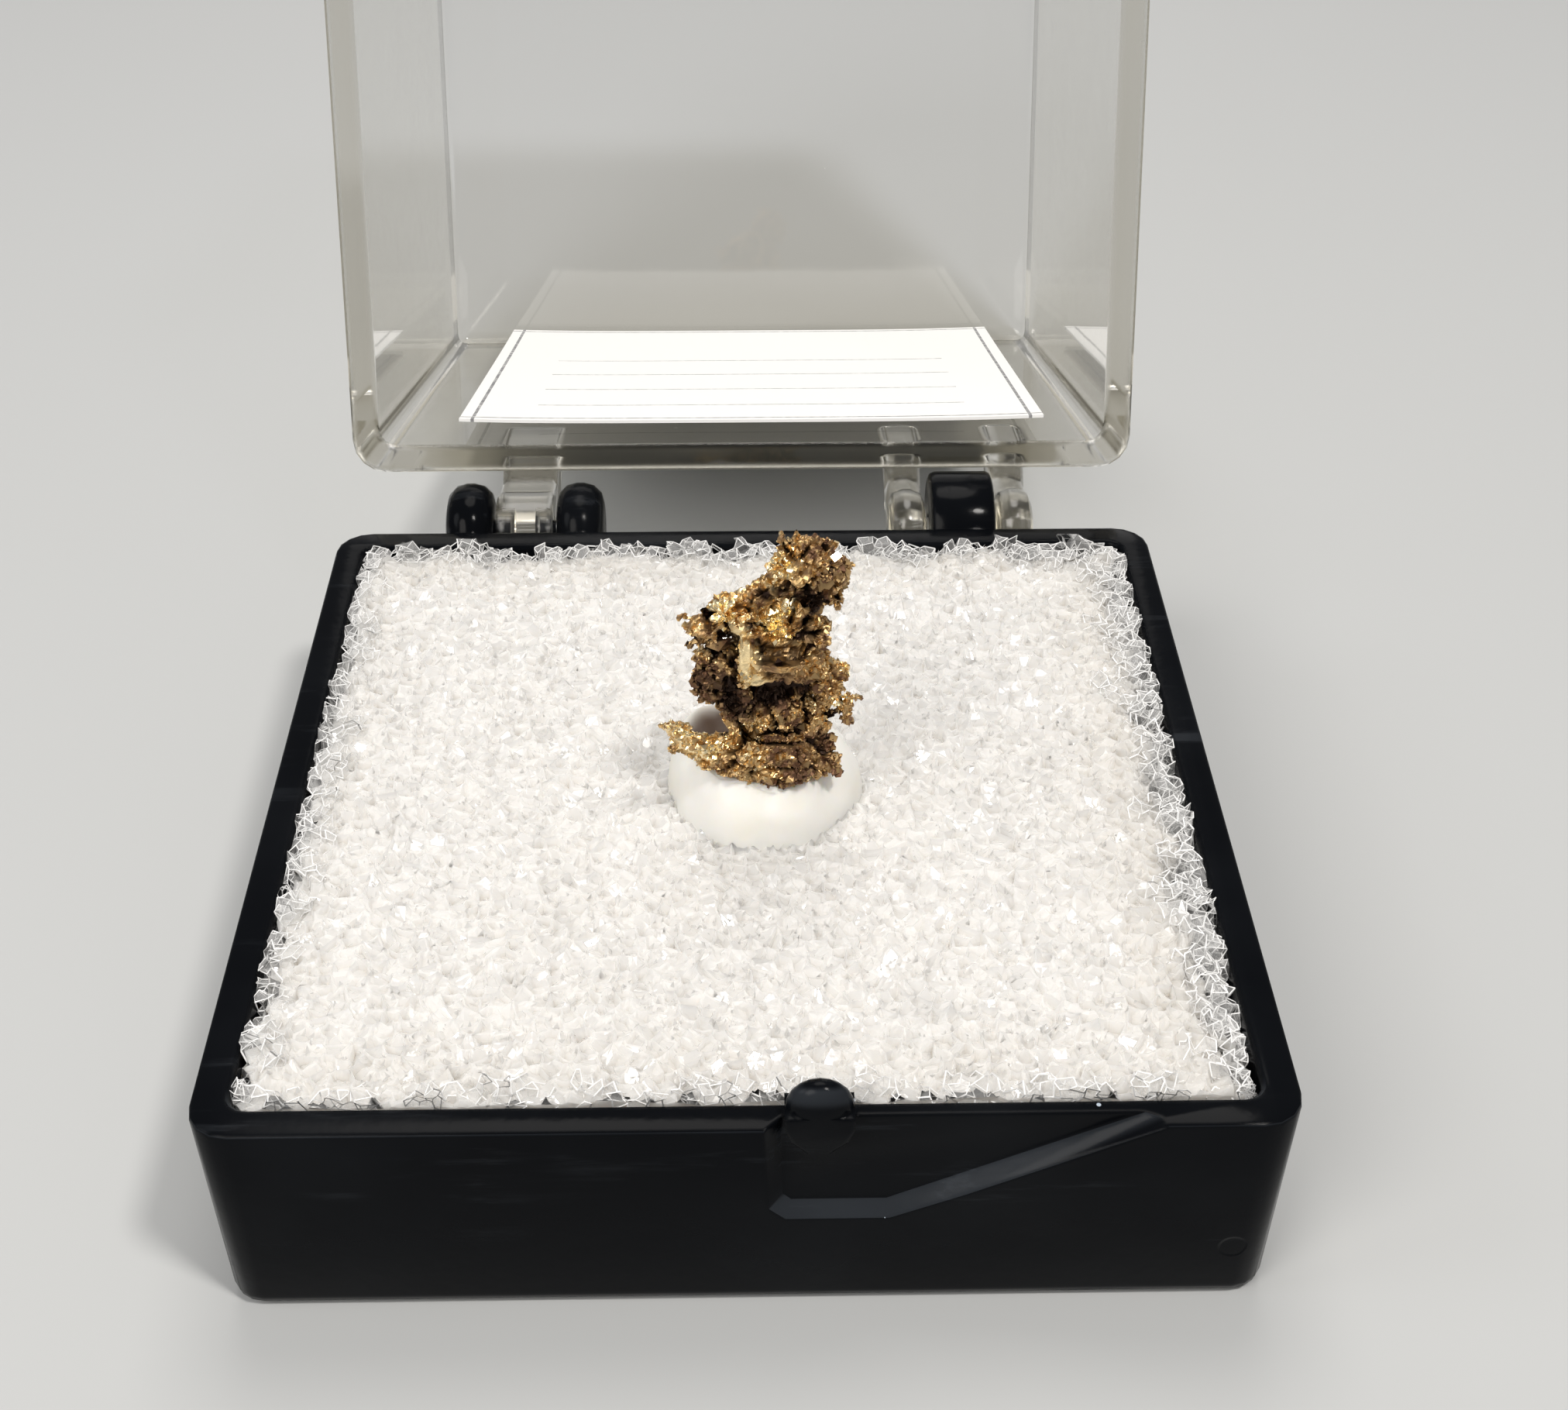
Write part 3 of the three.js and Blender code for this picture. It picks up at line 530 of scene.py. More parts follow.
def makeFoam(material):
    rng = np.random.default_rng(foam["seed"])
    points, films, glosses, faces = [], [], [], []
    known = {}
    border = []

    def addPoint(point, film, gloss):
        points.append(tuple(point))
        films.append(film)
        glosses.append(gloss)
        return len(points) - 1

    # a point that neighbouring cells share is made once, and the outline's points are kept for the sides
    def sharedPoint(key, x, y, make, film):
        if key not in known:
            known[key] = addPoint(make(), film, 0.2)
            if max(abs(x), abs(y)) > foam["half"] - 1e-4:
                border.append((math.atan2(y, x), known[key]))
        return known[key]

    def cornerAt(x, y):
        return sharedPoint((round(x, 3), round(y, 3)), x, y, lambda: settledCorner(x, y, rng), 0.0)

    def sagging(a, b):
        return (Vector(points[a]) + Vector(points[b])) / 2 - Vector((0, 0, rng.uniform(0.0, foam["sag"])))

    for middle, polygon in foamCells(rng):
        if len(polygon) < 3:
            continue
        corners = [cornerAt(x, y) for x, y in polygon]
        outer = []
        for a, b, first, second in pairs(corners, polygon):
            if a == b:
                continue
            x, y = (Vector(first) + Vector(second)) / 2
            outer += [a, sharedPoint((min(a, b), max(a, b)), x, y, lambda: sagging(a, b), 0.1)]
        height = sum(points[a][2] for a in corners) / len(corners)
        gloss = rng.random()
        edge, shallow = foam["edgeDepth"]
        depth = rng.uniform(*foam["depth"]) * (1 if max(map(abs, middle)) < foam["half"] - edge else shallow)
        share, facing, spread = foam["sparkle"]
        tilt = rng.normal(0, foam["tilt"], 2)
        if rng.random() < share:
            tilt = rng.normal(facing, spread)
            gloss = 1.0
        centre = sum((Vector(points[a]) for a in outer), Vector()) / len(outer)
        centre.z = height - depth
        dull, glossy = foam["uneven"]
        rough = glossy if gloss > 0.5 else dull
        inner = []
        for a in outer:
            spot = centre.lerp(Vector(points[a]), foam["ring"])
            lean = tilt[0] * (spot.x - centre.x) + tilt[1] * (spot.y - centre.y)
            spot.z = centre.z + lean + rng.uniform(-rough, rough)
            inner.append(addPoint(spot, 1.0, gloss))
        hub = addPoint(centre, 1.0, gloss)
        for a, b, innerA, innerB in pairs(outer, inner):
            faces += [(a, b, innerB), (a, innerB, innerA), (innerA, innerB, hub)]

    above = loop = [index for angle, index in sorted(border)]
    for level in foam["sides"]:
        below = []
        for index in loop:
            x, y, z = points[index]
            pull = 1 - (0.04 + 0.07 * level + 0.04 * rng.random()) / foam["half"]
            below.append(addPoint((x * pull, y * pull, max(z - level, foam["bottom"])), 0.1, 0.3))
        faces += [(a, lowA, lowB, b) for a, b, lowA, lowB in pairs(above, below)]
        above = below
    faces.append(tuple(above[::-1]))
    values = {"bubbleFilm": films, "filmGloss": glosses}
    piece = makePiece("foam_insert_torn", points, faces, material, values)
    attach(piece, "base")
    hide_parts("foam_insert")


# Torn slivers of film that stand up from the walls between the cells.
def makeShards(material):
    rng = np.random.default_rng(foam["seed"] + 1)
    inner = foam["half"] - 0.3
    cx, cy = putty["centre"]
    points, faces = [], []
    while len(faces) < 4 * foam["shards"]:
        x, y = rng.uniform(-inner, inner, 2)
        back, gap = tornBack(x, y)
        if gap < back + 0.1 or math.hypot(x - cx, y - cy) < putty["cleared"]:
            continue
        turn = rng.uniform(0, 2 * math.pi)
        across = Vector((math.cos(turn), math.sin(turn), 0)) * rng.uniform(*foam["shardWidth"])
        through = Vector((-math.sin(turn), math.cos(turn), 0)) * 0.012
        height = rng.uniform(*foam["shardHeight"])
        lean = Vector((rng.normal(0, 0.45), rng.normal(0, 0.45), 1)).normalized() * height
        root = Vector((x, y, topHeight(x, y) - 0.1))
        start = len(points)
        points += [root - across, root + across, root + through, root + lean + across * rng.uniform(-1, 1)]
        faces += [tuple(start + k for k in face) for face in ((0, 2, 1), (0, 1, 3), (1, 2, 3), (2, 0, 3))]
    values = {"bubbleFilm": np.full(len(points), 0.6), "filmGloss": np.full(len(points), 0.9)}
    piece = makePiece("foam_shards", [tuple(point) for point in points], faces, material, values)
    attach(piece, "base")


# the open bubbles along the block's cut sides: a lattice of many-sided cells, bent out of true
bubbles = {
    "size": 0.68,
    "turned": (0.5, 0.7, 0.4),  # how the lattice is turned, in radians
    "sunk": 0.45,  # how far its middle layer lies under the foam's top
    "bend": 0.15,
    "warp": 0.32,
    "strut": (0.013, 0.03),
    "bandInside": 0.75,  # how far the bubbles reach in from the block's torn edge
    "depth": 1.0,
    "searched": 2.2,  # cells are looked for this far in from the outline,
    "searchStep": 0.45,  # and this share of their size apart
    "wallGap": 0.05,
    "filmShare": 0.7,
    "seed": 5,
}


# One cell of the lattice: a cube with its corners cut off, as corner points and faces.
def latticeCell():
    corners = set()
    for one in (-1, 1):
        for two in (-2, 2):
            corners.update(permutations((0, one, two)))
    corners = sorted(corners)
    faces = [[k for k, corner in enumerate(corners) if corner[axis] == side]
             for axis, side in product(range(3), (-2, 2))]
    for signs in product((-1, 1), repeat=3):
        faces.append([k for k, corner in enumerate(corners) if Vector(signs).dot(corner) == 3])
    ordered = []
    for face in faces:
        middle = sum((Vector(corners[k]) for k in face), Vector()) / len(face)
        first = (Vector(corners[face[0]]) - middle).normalized()
        second = middle.normalized().cross(first)
        spokes = {k: Vector(corners[k]) - middle for k in face}
        ordered.append(sorted(face, key=lambda k: math.atan2(spokes[k].dot(second), spokes[k].dot(first))))
    return corners, ordered


def inBubbleBand(spot):
    back, gap = tornBack(spot.x, spot.y)
    deep = foam["top"] - spot.z
    if not (-0.02 < deep < bubbles["depth"]):
        return False
    return bubbles["wallGap"] + 0.1 * deep < gap < back + bubbles["bandInside"] * (1 - 0.4 * deep)


# The lattice cells whose middles lie around the top of the foam's sides.
def cellsAlongSides(turned, unit):
    middleHeight = foam["top"] - bubbles["sunk"]
    back = turned.transposed()
    spacing = bubbles["size"] * bubbles["searchStep"]
    line = np.arange(-foam["half"], foam["half"] + 0.1, spacing)
    seen = set()
    for x, y in product(line, line):
        if max(abs(x), abs(y)) < foam["half"] - bubbles["searched"]:
            continue
        for z in np.arange(foam["top"] - bubbles["depth"], foam["top"] + 0.1, spacing):
            local = (back @ Vector((x, y, z - foam["top"] + bubbles["sunk"]))) / unit
            even = tuple(4 * round(v / 4) for v in local)
            odd = tuple(4 * round((v - 2) / 4) + 2 for v in local)
            seen.add(min((even, odd), key=lambda c: sum((a - b) ** 2 for a, b in zip(c, local))))
    return [cell for cell in sorted(seen)
            if inBubbleBand(turned @ (Vector(cell) * unit) + Vector((0, 0, middleHeight)))]


def makeBubbles(material):
    rng = np.random.default_rng(bubbles["seed"])
    corners, cellFaces = latticeCell()
    unit = bubbles["size"] / 4
    turned = Matrix.Identity(3)
    for angle, axis in zip(bubbles["turned"], "ZXY"):
        turned = turned @ Matrix.Rotation(angle, 3, axis)
    bent = {}

    def place(step):
        if step not in bent:
            spot = turned @ (Vector(step) * unit)
            warp = Vector(noise.noise_vector(spot * 0.6)) * bubbles["warp"]
            jitter = Vector(rng.uniform(-1, 1, 3)) * bubbles["bend"]
            bent[step] = Vector((spot.x, spot.y, spot.z + foam["top"] - bubbles["sunk"])) + warp + jitter
        return bent[step]

    edges, films = set(), set()
    for cell in cellsAlongSides(turned, unit):
        steps = [tuple(a + b for a, b in zip(cell, corner)) for corner in corners]
        for face in cellFaces:
            ring = tuple(steps[k] for k in face)
            edges.update(tuple(sorted(pair)) for pair in pairs(ring))
            films.add((*sorted(ring), ring))
    points, faces, openFilm = [], [], []
    for a, b in sorted(edges):
        start, end = place(a), place(b)
        along = (end - start).normalized()
        side = along.orthogonal().normalized()
        other = along.cross(side)
        base = len(points)
        for spot in (start, end):
            radius = rng.uniform(*bubbles["strut"])
            for k in range(3):
                angle = 2 * math.pi * k / 3
                points.append(tuple(spot + (side * math.cos(angle) + other * math.sin(angle)) * radius))
                openFilm.append(0.0)
        faces += [(base + k, base + (k + 1) % 3, base + 3 + (k + 1) % 3, base + 3 + k) for k in range(3)]
        faces += [(base + 2, base + 1, base), (base + 3, base + 4, base + 5)]
    # two cells share a film, which is made once
    single = {}
    for *outline, ring in sorted(films, key=lambda film: film[:-1]):
        single.setdefault(tuple(outline), ring)
    for ring in single.values():
        if rng.random() > bubbles["filmShare"]:
            continue
        faces.append(tuple(range(len(points), len(points) + len(ring))))
        points += [tuple(place(step)) for step in ring]
        openFilm += [1.0] * len(ring)
    points = np.array(points)
    for k, point in enumerate(points):
        points[k, :2] = roundedIn(*np.clip(point[:2], -foam["half"], foam["half"]))
    points[:, 2] = np.minimum(points[:, 2], foam["top"] + 0.3)
    print("open bubbles:", len(edges), "struts,", len(single), "films")
    piece = makePiece("foam_open_bubbles", points, faces, material, {"openFilm": openFilm})
    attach(piece, "base")


def whiteFoam():
    material, tree, shader = newMaterial("whiteFoam")
    film, gloss = attributeValue(tree, "bubbleFilm"), attributeValue(tree, "filmGloss")
    place = objectCoords(tree)
    cloud = noiseNode(tree, place, 420, 3)
    grey = mathNode(tree, "MULTIPLY", film, mapRange(tree, cloud, 0.3, 0.7, 0.35, 1.0))
    tone = mixColor(tree, grey, foam["wall"], foam["film"])
    parts = splitVector(tree, place)
    reaches = [mapRange(tree, parts[axis], side * begins * mm, side * 14.6 * mm, 0.0, most)
               for axis, side, begins, most in foam["borders"]]
    border = mathNode(tree, "MAXIMUM", *reaches)
    both = mathNode(tree, "MULTIPLY", mapRange(tree, gloss, 0.4, 0.6), film)
    setInputs(tree, shader, {
        "Base Color": mixColor(tree, border, tone, foam["nearWalls"], "MULTIPLY"),
        "Roughness": mapRange(tree, both, 0.0, 1.0, 0.5, 0.14),
        "Coat Weight": both,
        "Coat Roughness": 0.08,
        "Subsurface Weight": 0.75,
        "Subsurface Radius": (1.0, 0.95, 0.9),
        "Subsurface Scale": 0.0013,
        "Normal": bumpNode(tree, noiseNode(tree, place, 5200, 3), 0.25, 0.00004),
    })
    return material


def bubbleFilm():
    material, tree, shader = newMaterial("bubbleFilm")
    setInputs(tree, shader, {
        "Base Color": foam["openFilm"],
        "Roughness": 0.16,
        "Alpha": mapRange(tree, attributeValue(tree, "openFilm"), 0.0, 1.0, 0.92, 0.22),
    })
    return material


# putty

putty = {
    "centre": (0.6, -0.46),
    "reach": (3.28, 3.16),
    "cleared": 3.05,  # no sliver of foam stands this near to its middle
    "height": 2.98,
    "sink": 0.25,
    "swell": 0.025,
    "dents": [(0.55, 0.16, (3, 8, 1)), (1.5, 0.05, (0, 0, 0))],  # fineness, height and place in the noise
    "hump": (-0.75, 0.21, 0.45, 0.122),  # place, rise and spread in shares of its reach
    "fold": (0.06, 0.09),  # depth and width of the pressed fold down the front
    "rings": 44,
    "around": 96,
    "color": (0.99, 0.965, 0.895, 1),
    "shade": (0.97, 0.925, 0.83, 1),
    # brown rubbed off the metal, deepened as painted shade of the specimen
    "rubAndPaintedLight": (0.085, 0.045, 0.022, 1),
    # where the brown rub and painted shade fade in behind, out to the right and in upward, and how far from
    # the metal they go
    "rubShadeBehind": (-2.1, -1.5),
    "rubShadeRight": (0.2, 1.0),
    "rubShadeAbove": (1.5, 2.4),
    "rubShadeAway": (0.4, 2.7),
    "clearance": 0.06,
    "pressed": 0.75,
}


# Brown rubbed off the metal, with painted shade of the specimen, on the putty behind the specimen's left
# half.
def rubAndPaintedShade(points, tree):
    values = []
    for x, y, z in points:
        away = tree.find_nearest(Vector((x, y, z)))[3]
        behind = smoothStep(*putty["rubShadeBehind"], y) * (1 - smoothStep(*putty["rubShadeRight"], x))
        behind *= smoothStep(*putty["rubShadeAbove"], z - rimHeight)
        values.append(behind * (1 - smoothStep(*putty["rubShadeAway"], away)))
    return values


# The putty is pressed up against the metal, close under it.
def pressedUp(point, tree):
    spot = Vector(point)
    metalSpot, facing, index, away = tree.find_nearest(spot)
    rise = max(away - putty["clearance"], 0) * (1 - smoothStep(0.3, putty["pressed"], away))
    return tuple(spot + (metalSpot - spot).normalized() * rise)


def makePutty(material):
    cx, cy = putty["centre"]
    rx, ry = putty["reach"]
    humpX, humpY, rise, spread = putty["hump"]
    foldDepth, foldWidth = putty["fold"]
    around, rings, sink = putty["around"], putty["rings"], putty["sink"]
    points, faces = [], []
    for ring, step in product(range(rings + 1), range(around)):
        lift = math.radians(90 * ring / rings)
        angle = 2 * math.pi * step / around
        swell = 1 + putty["swell"] * math.sin(3 * angle + 0.7)
        x = math.cos(lift) * math.cos(angle)
        y = math.cos(lift) * math.sin(angle)
        z = math.sin(lift) ** 0.94
        hump = rise * math.exp(-((x - humpX) ** 2 + (y - humpY) ** 2) / spread)
        spot = Vector((cx + x * swell * rx, cy + y * swell * ry, z * (1 + hump) * putty["height"] - sink))
        dent = sum(noise.noise(spot * fine + Vector(start)) * height
                   for fine, height, start in putty["dents"])
        fold = foldDepth * math.exp(-(x / foldWidth) ** 2) * math.cos(lift) if y < 0 else 0
        spot += Vector((x, y, z)).normalized() * (dent - fold)
        points.append((spot.x, spot.y, max(spot.z, -sink) + rimHeight))
    starts = [ring * around for ring in range(rings + 1)]
    for start in starts[:-1]:
        faces += [(a, b, b + around, a + around) for a, b in pairs(range(start, start + around))]
    faces += [tuple(range(around))[::-1], tuple(range(starts[-1], starts[-1] + around))]
    tree = metalTree()
    points = [pressedUp(point, tree) for point in points]
    values = {"rubAndPaintedShade": rubAndPaintedShade(points, tree)}
    piece = makePiece("putty_lump", points, faces, material, values, smooth=True)
    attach(piece, "base")
    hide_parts("mineral_putty")


def creamPutty():
    material, tree, shader = newMaterial("creamPutty")
    place = objectCoords(tree)
    cloud = noiseNode(tree, place, 500, 3)
    clean = mixColor(tree, mapRange(tree, cloud, 0.42, 0.72), putty["color"], putty["shade"])
    clouded = mathNode(tree, "MULTIPLY", cloud, 0.2)
    # the brown rub with painted shade of the specimen, mottled by the cloud
    rubAndPaintedLight = mathNode(tree, "ADD", attributeValue(tree, "rubAndPaintedShade"), clouded)
    skin = useGroup(tree, unevenSkin, {"Vector": place, "Broad": 700.0, "Fine": 6000.0, "Fine Share": 0.12})
    setInputs(tree, shader, {
        "Base Color": mixColor(tree, mapRange(tree, rubAndPaintedLight, 0.2, 0.85), clean, putty["rubAndPaintedLight"]),
        "Roughness": mapRange(tree, cloud, 0.3, 0.7, 0.42, 0.6),
        "Subsurface Weight": 0.4,
        "Subsurface Radius": (1.0, 0.8, 0.58),
        "Subsurface Scale": 0.0009,
        "Normal": bumpNode(tree, skin, 0.3, 0.00010),
    })
    return material


# native metal specimen

specimen = {
    "grain": 0.072,  # spacing of the skin's points
    "facet": (0.34, 0.15),  # sizes of the broad and the fine crystal faces
    "facetLift": (0.42, 0.3),
    # crevices where a noise passes through zero: its fineness and start, their width and share
    "creases": [(1.05, (4, 2, 7), 0.16, 1.0), (2.3, (1, 6, 3), 0.14, 0.5)],
    "crevice": 0.42,
    "sunk": 0.07,
    "cut": (-0.6, 0.08),  # the skin is carved down and raised by this at most
    "thinnest": 0.22,  # and down by this share of the metal's thickness
    "cellTone": 0.2,  # size of the spots that are brighter or browner
    "skinTones": (0.09, 0.54),  # tone of the brownest, and how far it goes up from there
    "crystals": 7400,
    "size": (0.035, 0.12),
    "bigShare": 0.035,
    "bigSize": (0.14, 0.26),
    "kinds": [0.62, 0.16, 0.22],  # shares of octahedra, cubes and plates
    "onPlate": 0.3,  # share of the crystals kept on the plate
    # on the folded upper part, but for its right side, this share of them is left out
    "thinned": (0.72, (5.6, 7.0), (1.9, 2.5)),
    "seed": 23,
    # smooth dented plate on the chest: middle and reach, heights above the rim
    "plate": ((1.2, -2.7, 6.7), 1.08),
    "plateDepth": 0.12,
    "smoothed": (0.72, 0.8),  # how much smoother the plate and the ridge are than the rest
    # lines over the skin: start, end, reach and how far they stand out or cut in
    "ridge": ((-0.1, -2.75, 7.6), (0.4, -2.85, 5.9), 0.34, 0.1),
    "clefts": [
        ((-0.4, -2.5, 5.75), (1.9, -2.6, 5.35), 0.24, -0.34),
        ((0.3, -2.3, 9.0), (2.3, -2.2, 8.5), 0.2, -0.26),
        ((-0.75, -2.3, 7.55), (-0.3, -2.4, 6.1), 0.14, -0.2),
    ],
    # single crystals: place, facing, size, kind and tone
    "placed": [
        ((3.05, -2.1, 10.35), (0.153, -0.64, 0.753), 0.19, 1, 1.25),
        ((-0.75, -1.9, 7.05), (-0.3, -0.7, 0.6), 0.34, 0, 0.2),
        ((-0.55, -1.7, 6.8), (0.2, -0.8, 0.5), 0.3, 0, 0.1),
    ],
    # long folds over the upper part: direction, spacing, how much longer they are, height
    "folds": ((0.55, -0.2, 0.81), 0.3, 3.4, 0.15),
    "foldsBegin": (5.8, 7.2),
    # where the metal is brighter or darker: middle, reach, tone and darkening; the darkening is tarnish and
    # painted shade (band under the head, crevice under the plate, left lobe), the ridge's brightening a
    # painted highlight
    "patches": [
        ((1.25, -2.6, 6.65), 1.0, -0.13, 0.05),
        ((1.1, -3.1, 7.0), 0.22, -0.2, 0.6),
        ((-0.05, -2.6, 7.4), 0.45, 0.44, -0.7),
        ((0.05, -2.6, 6.9), 0.45, 0.44, -0.7),
        ((0.2, -2.6, 6.4), 0.45, 0.44, -0.7),
        ((0.42, -2.6, 5.95), 0.45, 0.44, -0.7),
        ((-1.3, -2.3, 3.3), 1.1, 0.45, -0.5),
        ((-2.3, -2.3, 3.9), 0.9, 0.3, -0.4),
        ((0.25, -2.4, 3.9), 0.45, 0.5, -0.3),
        ((1.6, -2.3, 2.6), 1.5, -0.22, 0.05),
        ((1.1, -2.3, 8.1), 0.95, 0.45, -0.5),
        ((-0.6, -2.2, 8.5), 0.85, 0.45, -0.5),
        ((1.0, -2.2, 9.65), 0.85, 0.35, -0.5),
        ((2.3, -2.2, 9.6), 1.1, -0.12, 0.1),
        ((2.7, -2.3, 5.9), 0.8, 0.15, -0.1),
        ((3.5, -2.0, 4.9), 0.9, 0.25, -0.4),
        ((-0.95, -2.2, 5.6), 0.95, -0.45, 0.5),
        ((0.85, -2.3, 5.35), 0.75, -0.6, 0.8),
        ((-0.2, -2.2, 4.7), 0.8, -0.35, 0.5),
        ((0.4, -2.2, 8.75), 0.5, -0.3, 0.4),
        ((2.4, -2.2, 8.45), 0.5, -0.3, 0.4),
    ],
}


# An octahedron, a cube and a six-sided plate, each as points and faces.
def crystalShapes():
    octahedron = (
        [(1, 0, 0), (-1, 0, 0), (0, 1, 0), (0, -1, 0), (0, 0, 1), (0, 0, -1)],
        [(0, 2, 4), (2, 1, 4), (1, 3, 4), (3, 0, 4), (2, 0, 5), (1, 2, 5), (3, 1, 5), (0, 3, 5)])
    cube = (
        list(product((-0.7, 0.7), repeat=3)),
        [(0, 1, 3, 2), (4, 6, 7, 5), (0, 4, 5, 1), (2, 3, 7, 6), (0, 2, 6, 4), (1, 5, 7, 3)])
    ring = [(math.cos(k * math.pi / 3), math.sin(k * math.pi / 3)) for k in range(6)]
    plate = (
        [(x, y, -0.22) for x, y in ring] + [(0.8 * x, 0.8 * y, 0.22) for x, y in ring],
        [(5, 4, 3, 2, 1, 0), (6, 7, 8, 9, 10, 11)] + [(a, b, b + 6, a + 6) for a, b in pairs(range(6))])
    return [octahedron, cube, plate]


def randomTurns(rng, count):
    q = rng.normal(size=(count, 4))
    q /= np.linalg.norm(q, axis=1)[:, None]
    w, x, y, z = q.T
    rows = [
        (1 - 2 * (y * y + z * z), 2 * (x * y - z * w), 2 * (x * z + y * w)),
        (2 * (x * y + z * w), 1 - 2 * (x * x + z * z), 2 * (y * z - x * w)),
        (2 * (x * z - y * w), 2 * (y * z + x * w), 1 - 2 * (x * x + y * y)),
    ]
    return np.stack([np.stack(row, -1) for row in rows], 1)


# The specimen's solid as an even skin of small faces, in millimetres: points, normals, faces and triangles.
def evenSkin():
    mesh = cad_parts["native_metal_specimen"].data.copy()
    mesh.transform(Matrix.Scale(1 / mm, 4))
    body = bpy.data.objects.new("specimenBody", mesh)
    bpy.context.collection.objects.link(body)
    remesh = body.modifiers.new("evenSkin", "REMESH")
    remesh.mode = "VOXEL"
    remesh.voxel_size = specimen["grain"]
    skin = bpy.data.meshes.new_from_object(body.evaluated_get(bpy.context.evaluated_depsgraph_get()))
    count = len(skin.vertices)
    points, normals = np.empty(count * 3), np.empty(count * 3)
    skin.vertices.foreach_get("co", points)
    skin.vertices.foreach_get("normal", normals)
    faces = [tuple(face.vertices) for face in skin.polygons]
    triangles = triangleCorners(skin)
    bpy.data.objects.remove(body)
    bpy.data.meshes.remove(mesh)
    bpy.data.meshes.remove(skin)
    return points.reshape(-1, 3), normals.reshape(-1, 3), faces, triangles


# Crystal faces: the space is split into cells and each cell tilts its part of the skin its own way.
def facetLift(spot, size, strength):
    centre = noise.voronoi(spot / size)[1][0]
    facing = Vector(noise.noise_vector(centre * 7.3 + Vector((5, 1, 9)))).normalized()
    return (spot / size - centre).dot(facing) * size * strength


# Sheets of metal pressed together: sharp-crested folds, drawn out along one direction.
def foldLift(spot):
    direction, spacing, longer, height = specimen["folds"]
    along = Vector(direction).normalized()
    bent = spot + Vector(noise.noise_vector(spot * 0.9)) * 0.55
    squeezed = bent - along * bent.dot(along) * (1 - 1 / longer)
    crest = 1 - abs(noise.noise(squeezed / spacing)) * 2.6
    return (max(crest, -0.6) - 0.2) * height


def nearLine(spot, line):
    start, end, reach = Vector(line[0]), Vector(line[1]), line[2]
    share = min(max((spot - start).dot(end - start) / (end - start).length_squared, 0), 1)
    away = spot - start.lerp(end, share)
    away.y *= 0.4  # the lines are drawn on the front and run with the skin's depth
    return 1 - smoothStep(0.5 * reach, 1.5 * reach, away.length)


# The skin's points carved into crystal faces, with how far each lies in a crevice and on the ridge.
def carvedSkin(points, normals, tree):
    carved = np.empty_like(points)
    crevices, ridged = np.zeros(len(points)), np.zeros(len(points))
    plateMiddle, plateReach = Vector(specimen["plate"][0]), specimen["plate"][1]
    broad, fine = zip(specimen["facet"], specimen["facetLift"])
    deepest, highest = specimen["cut"]
    for k, (point, normal) in enumerate(zip(points, normals)):
        spot, out = Vector(point), Vector(normal)
        local = spot - Vector((0, 0, rimHeight))
        away = local - plateMiddle
        onPlate = 1 - smoothStep(0.55, 1.1, math.hypot(away.x, away.y * 0.8, away.z * 1.05) / plateReach)
        onRidge = nearLine(local, specimen["ridge"])
        cut = [(nearLine(local, line), line[3]) for line in specimen["clefts"]] if out.y < 0.2 else []
        smoothed = max(specimen["smoothed"][0] * onPlate, specimen["smoothed"][1] * onRidge)
        crevice = 0
        for fineness, first, width, share in specimen["creases"]:
            crease = abs(noise.noise(spot * fineness + Vector(first)))
            crevice += share * (1 - smoothStep(0.0, width, crease))
        upper = smoothStep(*specimen["foldsBegin"], local.z)
        rough = facetLift(spot, *broad) + facetLift(spot, *fine) * (1 - 0.6 * upper)
        rough = rough - specimen["crevice"] * crevice * 0.6 - specimen["sunk"]
        rough += foldLift(spot) * (0.35 + 0.65 * upper)
        plain = -0.05 + 0.1 * noise.noise(spot * 1.9) + 0.07 * noise.noise(spot * 5)
        plain -= specimen["plateDepth"] * onPlate
        move = rough + (plain - rough) * smoothed + specimen["ridge"][3] * onRidge
        move += sum(share * deep for share, deep in cut)
        thickness = tree.ray_cast(spot - out * 0.02, -out, 3.0)[3] or 3.0
        move = min(max(move, deepest, -specimen["thinnest"] * thickness), highest)
        carved[k] = spot + out * move
        ridged[k] = onRidge
        crevices[k] = min(crevice * (1 - smoothed) + sum(share for share, deep in cut), 1.0)
    return carved, crevices, ridged


# The share of the way out of each spot that the rest of the specimen closes off.
def closedIn(tree, spots, normals, reach=1.6, count=14):
    golden = math.pi * (3 - math.sqrt(5))
    rays = []
    for k in range(count):
        height = 1 - (k + 0.5) / count
        ring = math.sqrt(1 - height * height)
        rays.append(Vector((ring * math.cos(k * golden), ring * math.sin(k * golden), height)))
    closed = np.zeros(len(spots))
    for k, (spot, normal) in enumerate(zip(spots, normals)):
        out = Vector(normal)
        turn = out.to_track_quat("Z", "Y")
        start = Vector(spot) + out * 0.12
        hits = sum(tree.ray_cast(start, turn @ ray, reach)[0] is not None for ray in rays)
        closed[k] = hits / count
    return closed


# The same for every point of the skin, worked out at some of them and spread to the rest.
def closedSkin(rng, body, normals, tree):
    sampled = rng.choice(len(body), min(9000, len(body)), replace=False)
    shut = closedIn(tree, body[sampled], normals[sampled])
    lookup = KDTree(len(sampled))
    for k, index in enumerate(sampled):
        lookup.insert(body[index], k)
    lookup.balance()
    return np.array([np.mean([shut[found[1]] for found in lookup.find_n(point, 3)]) for point in body])


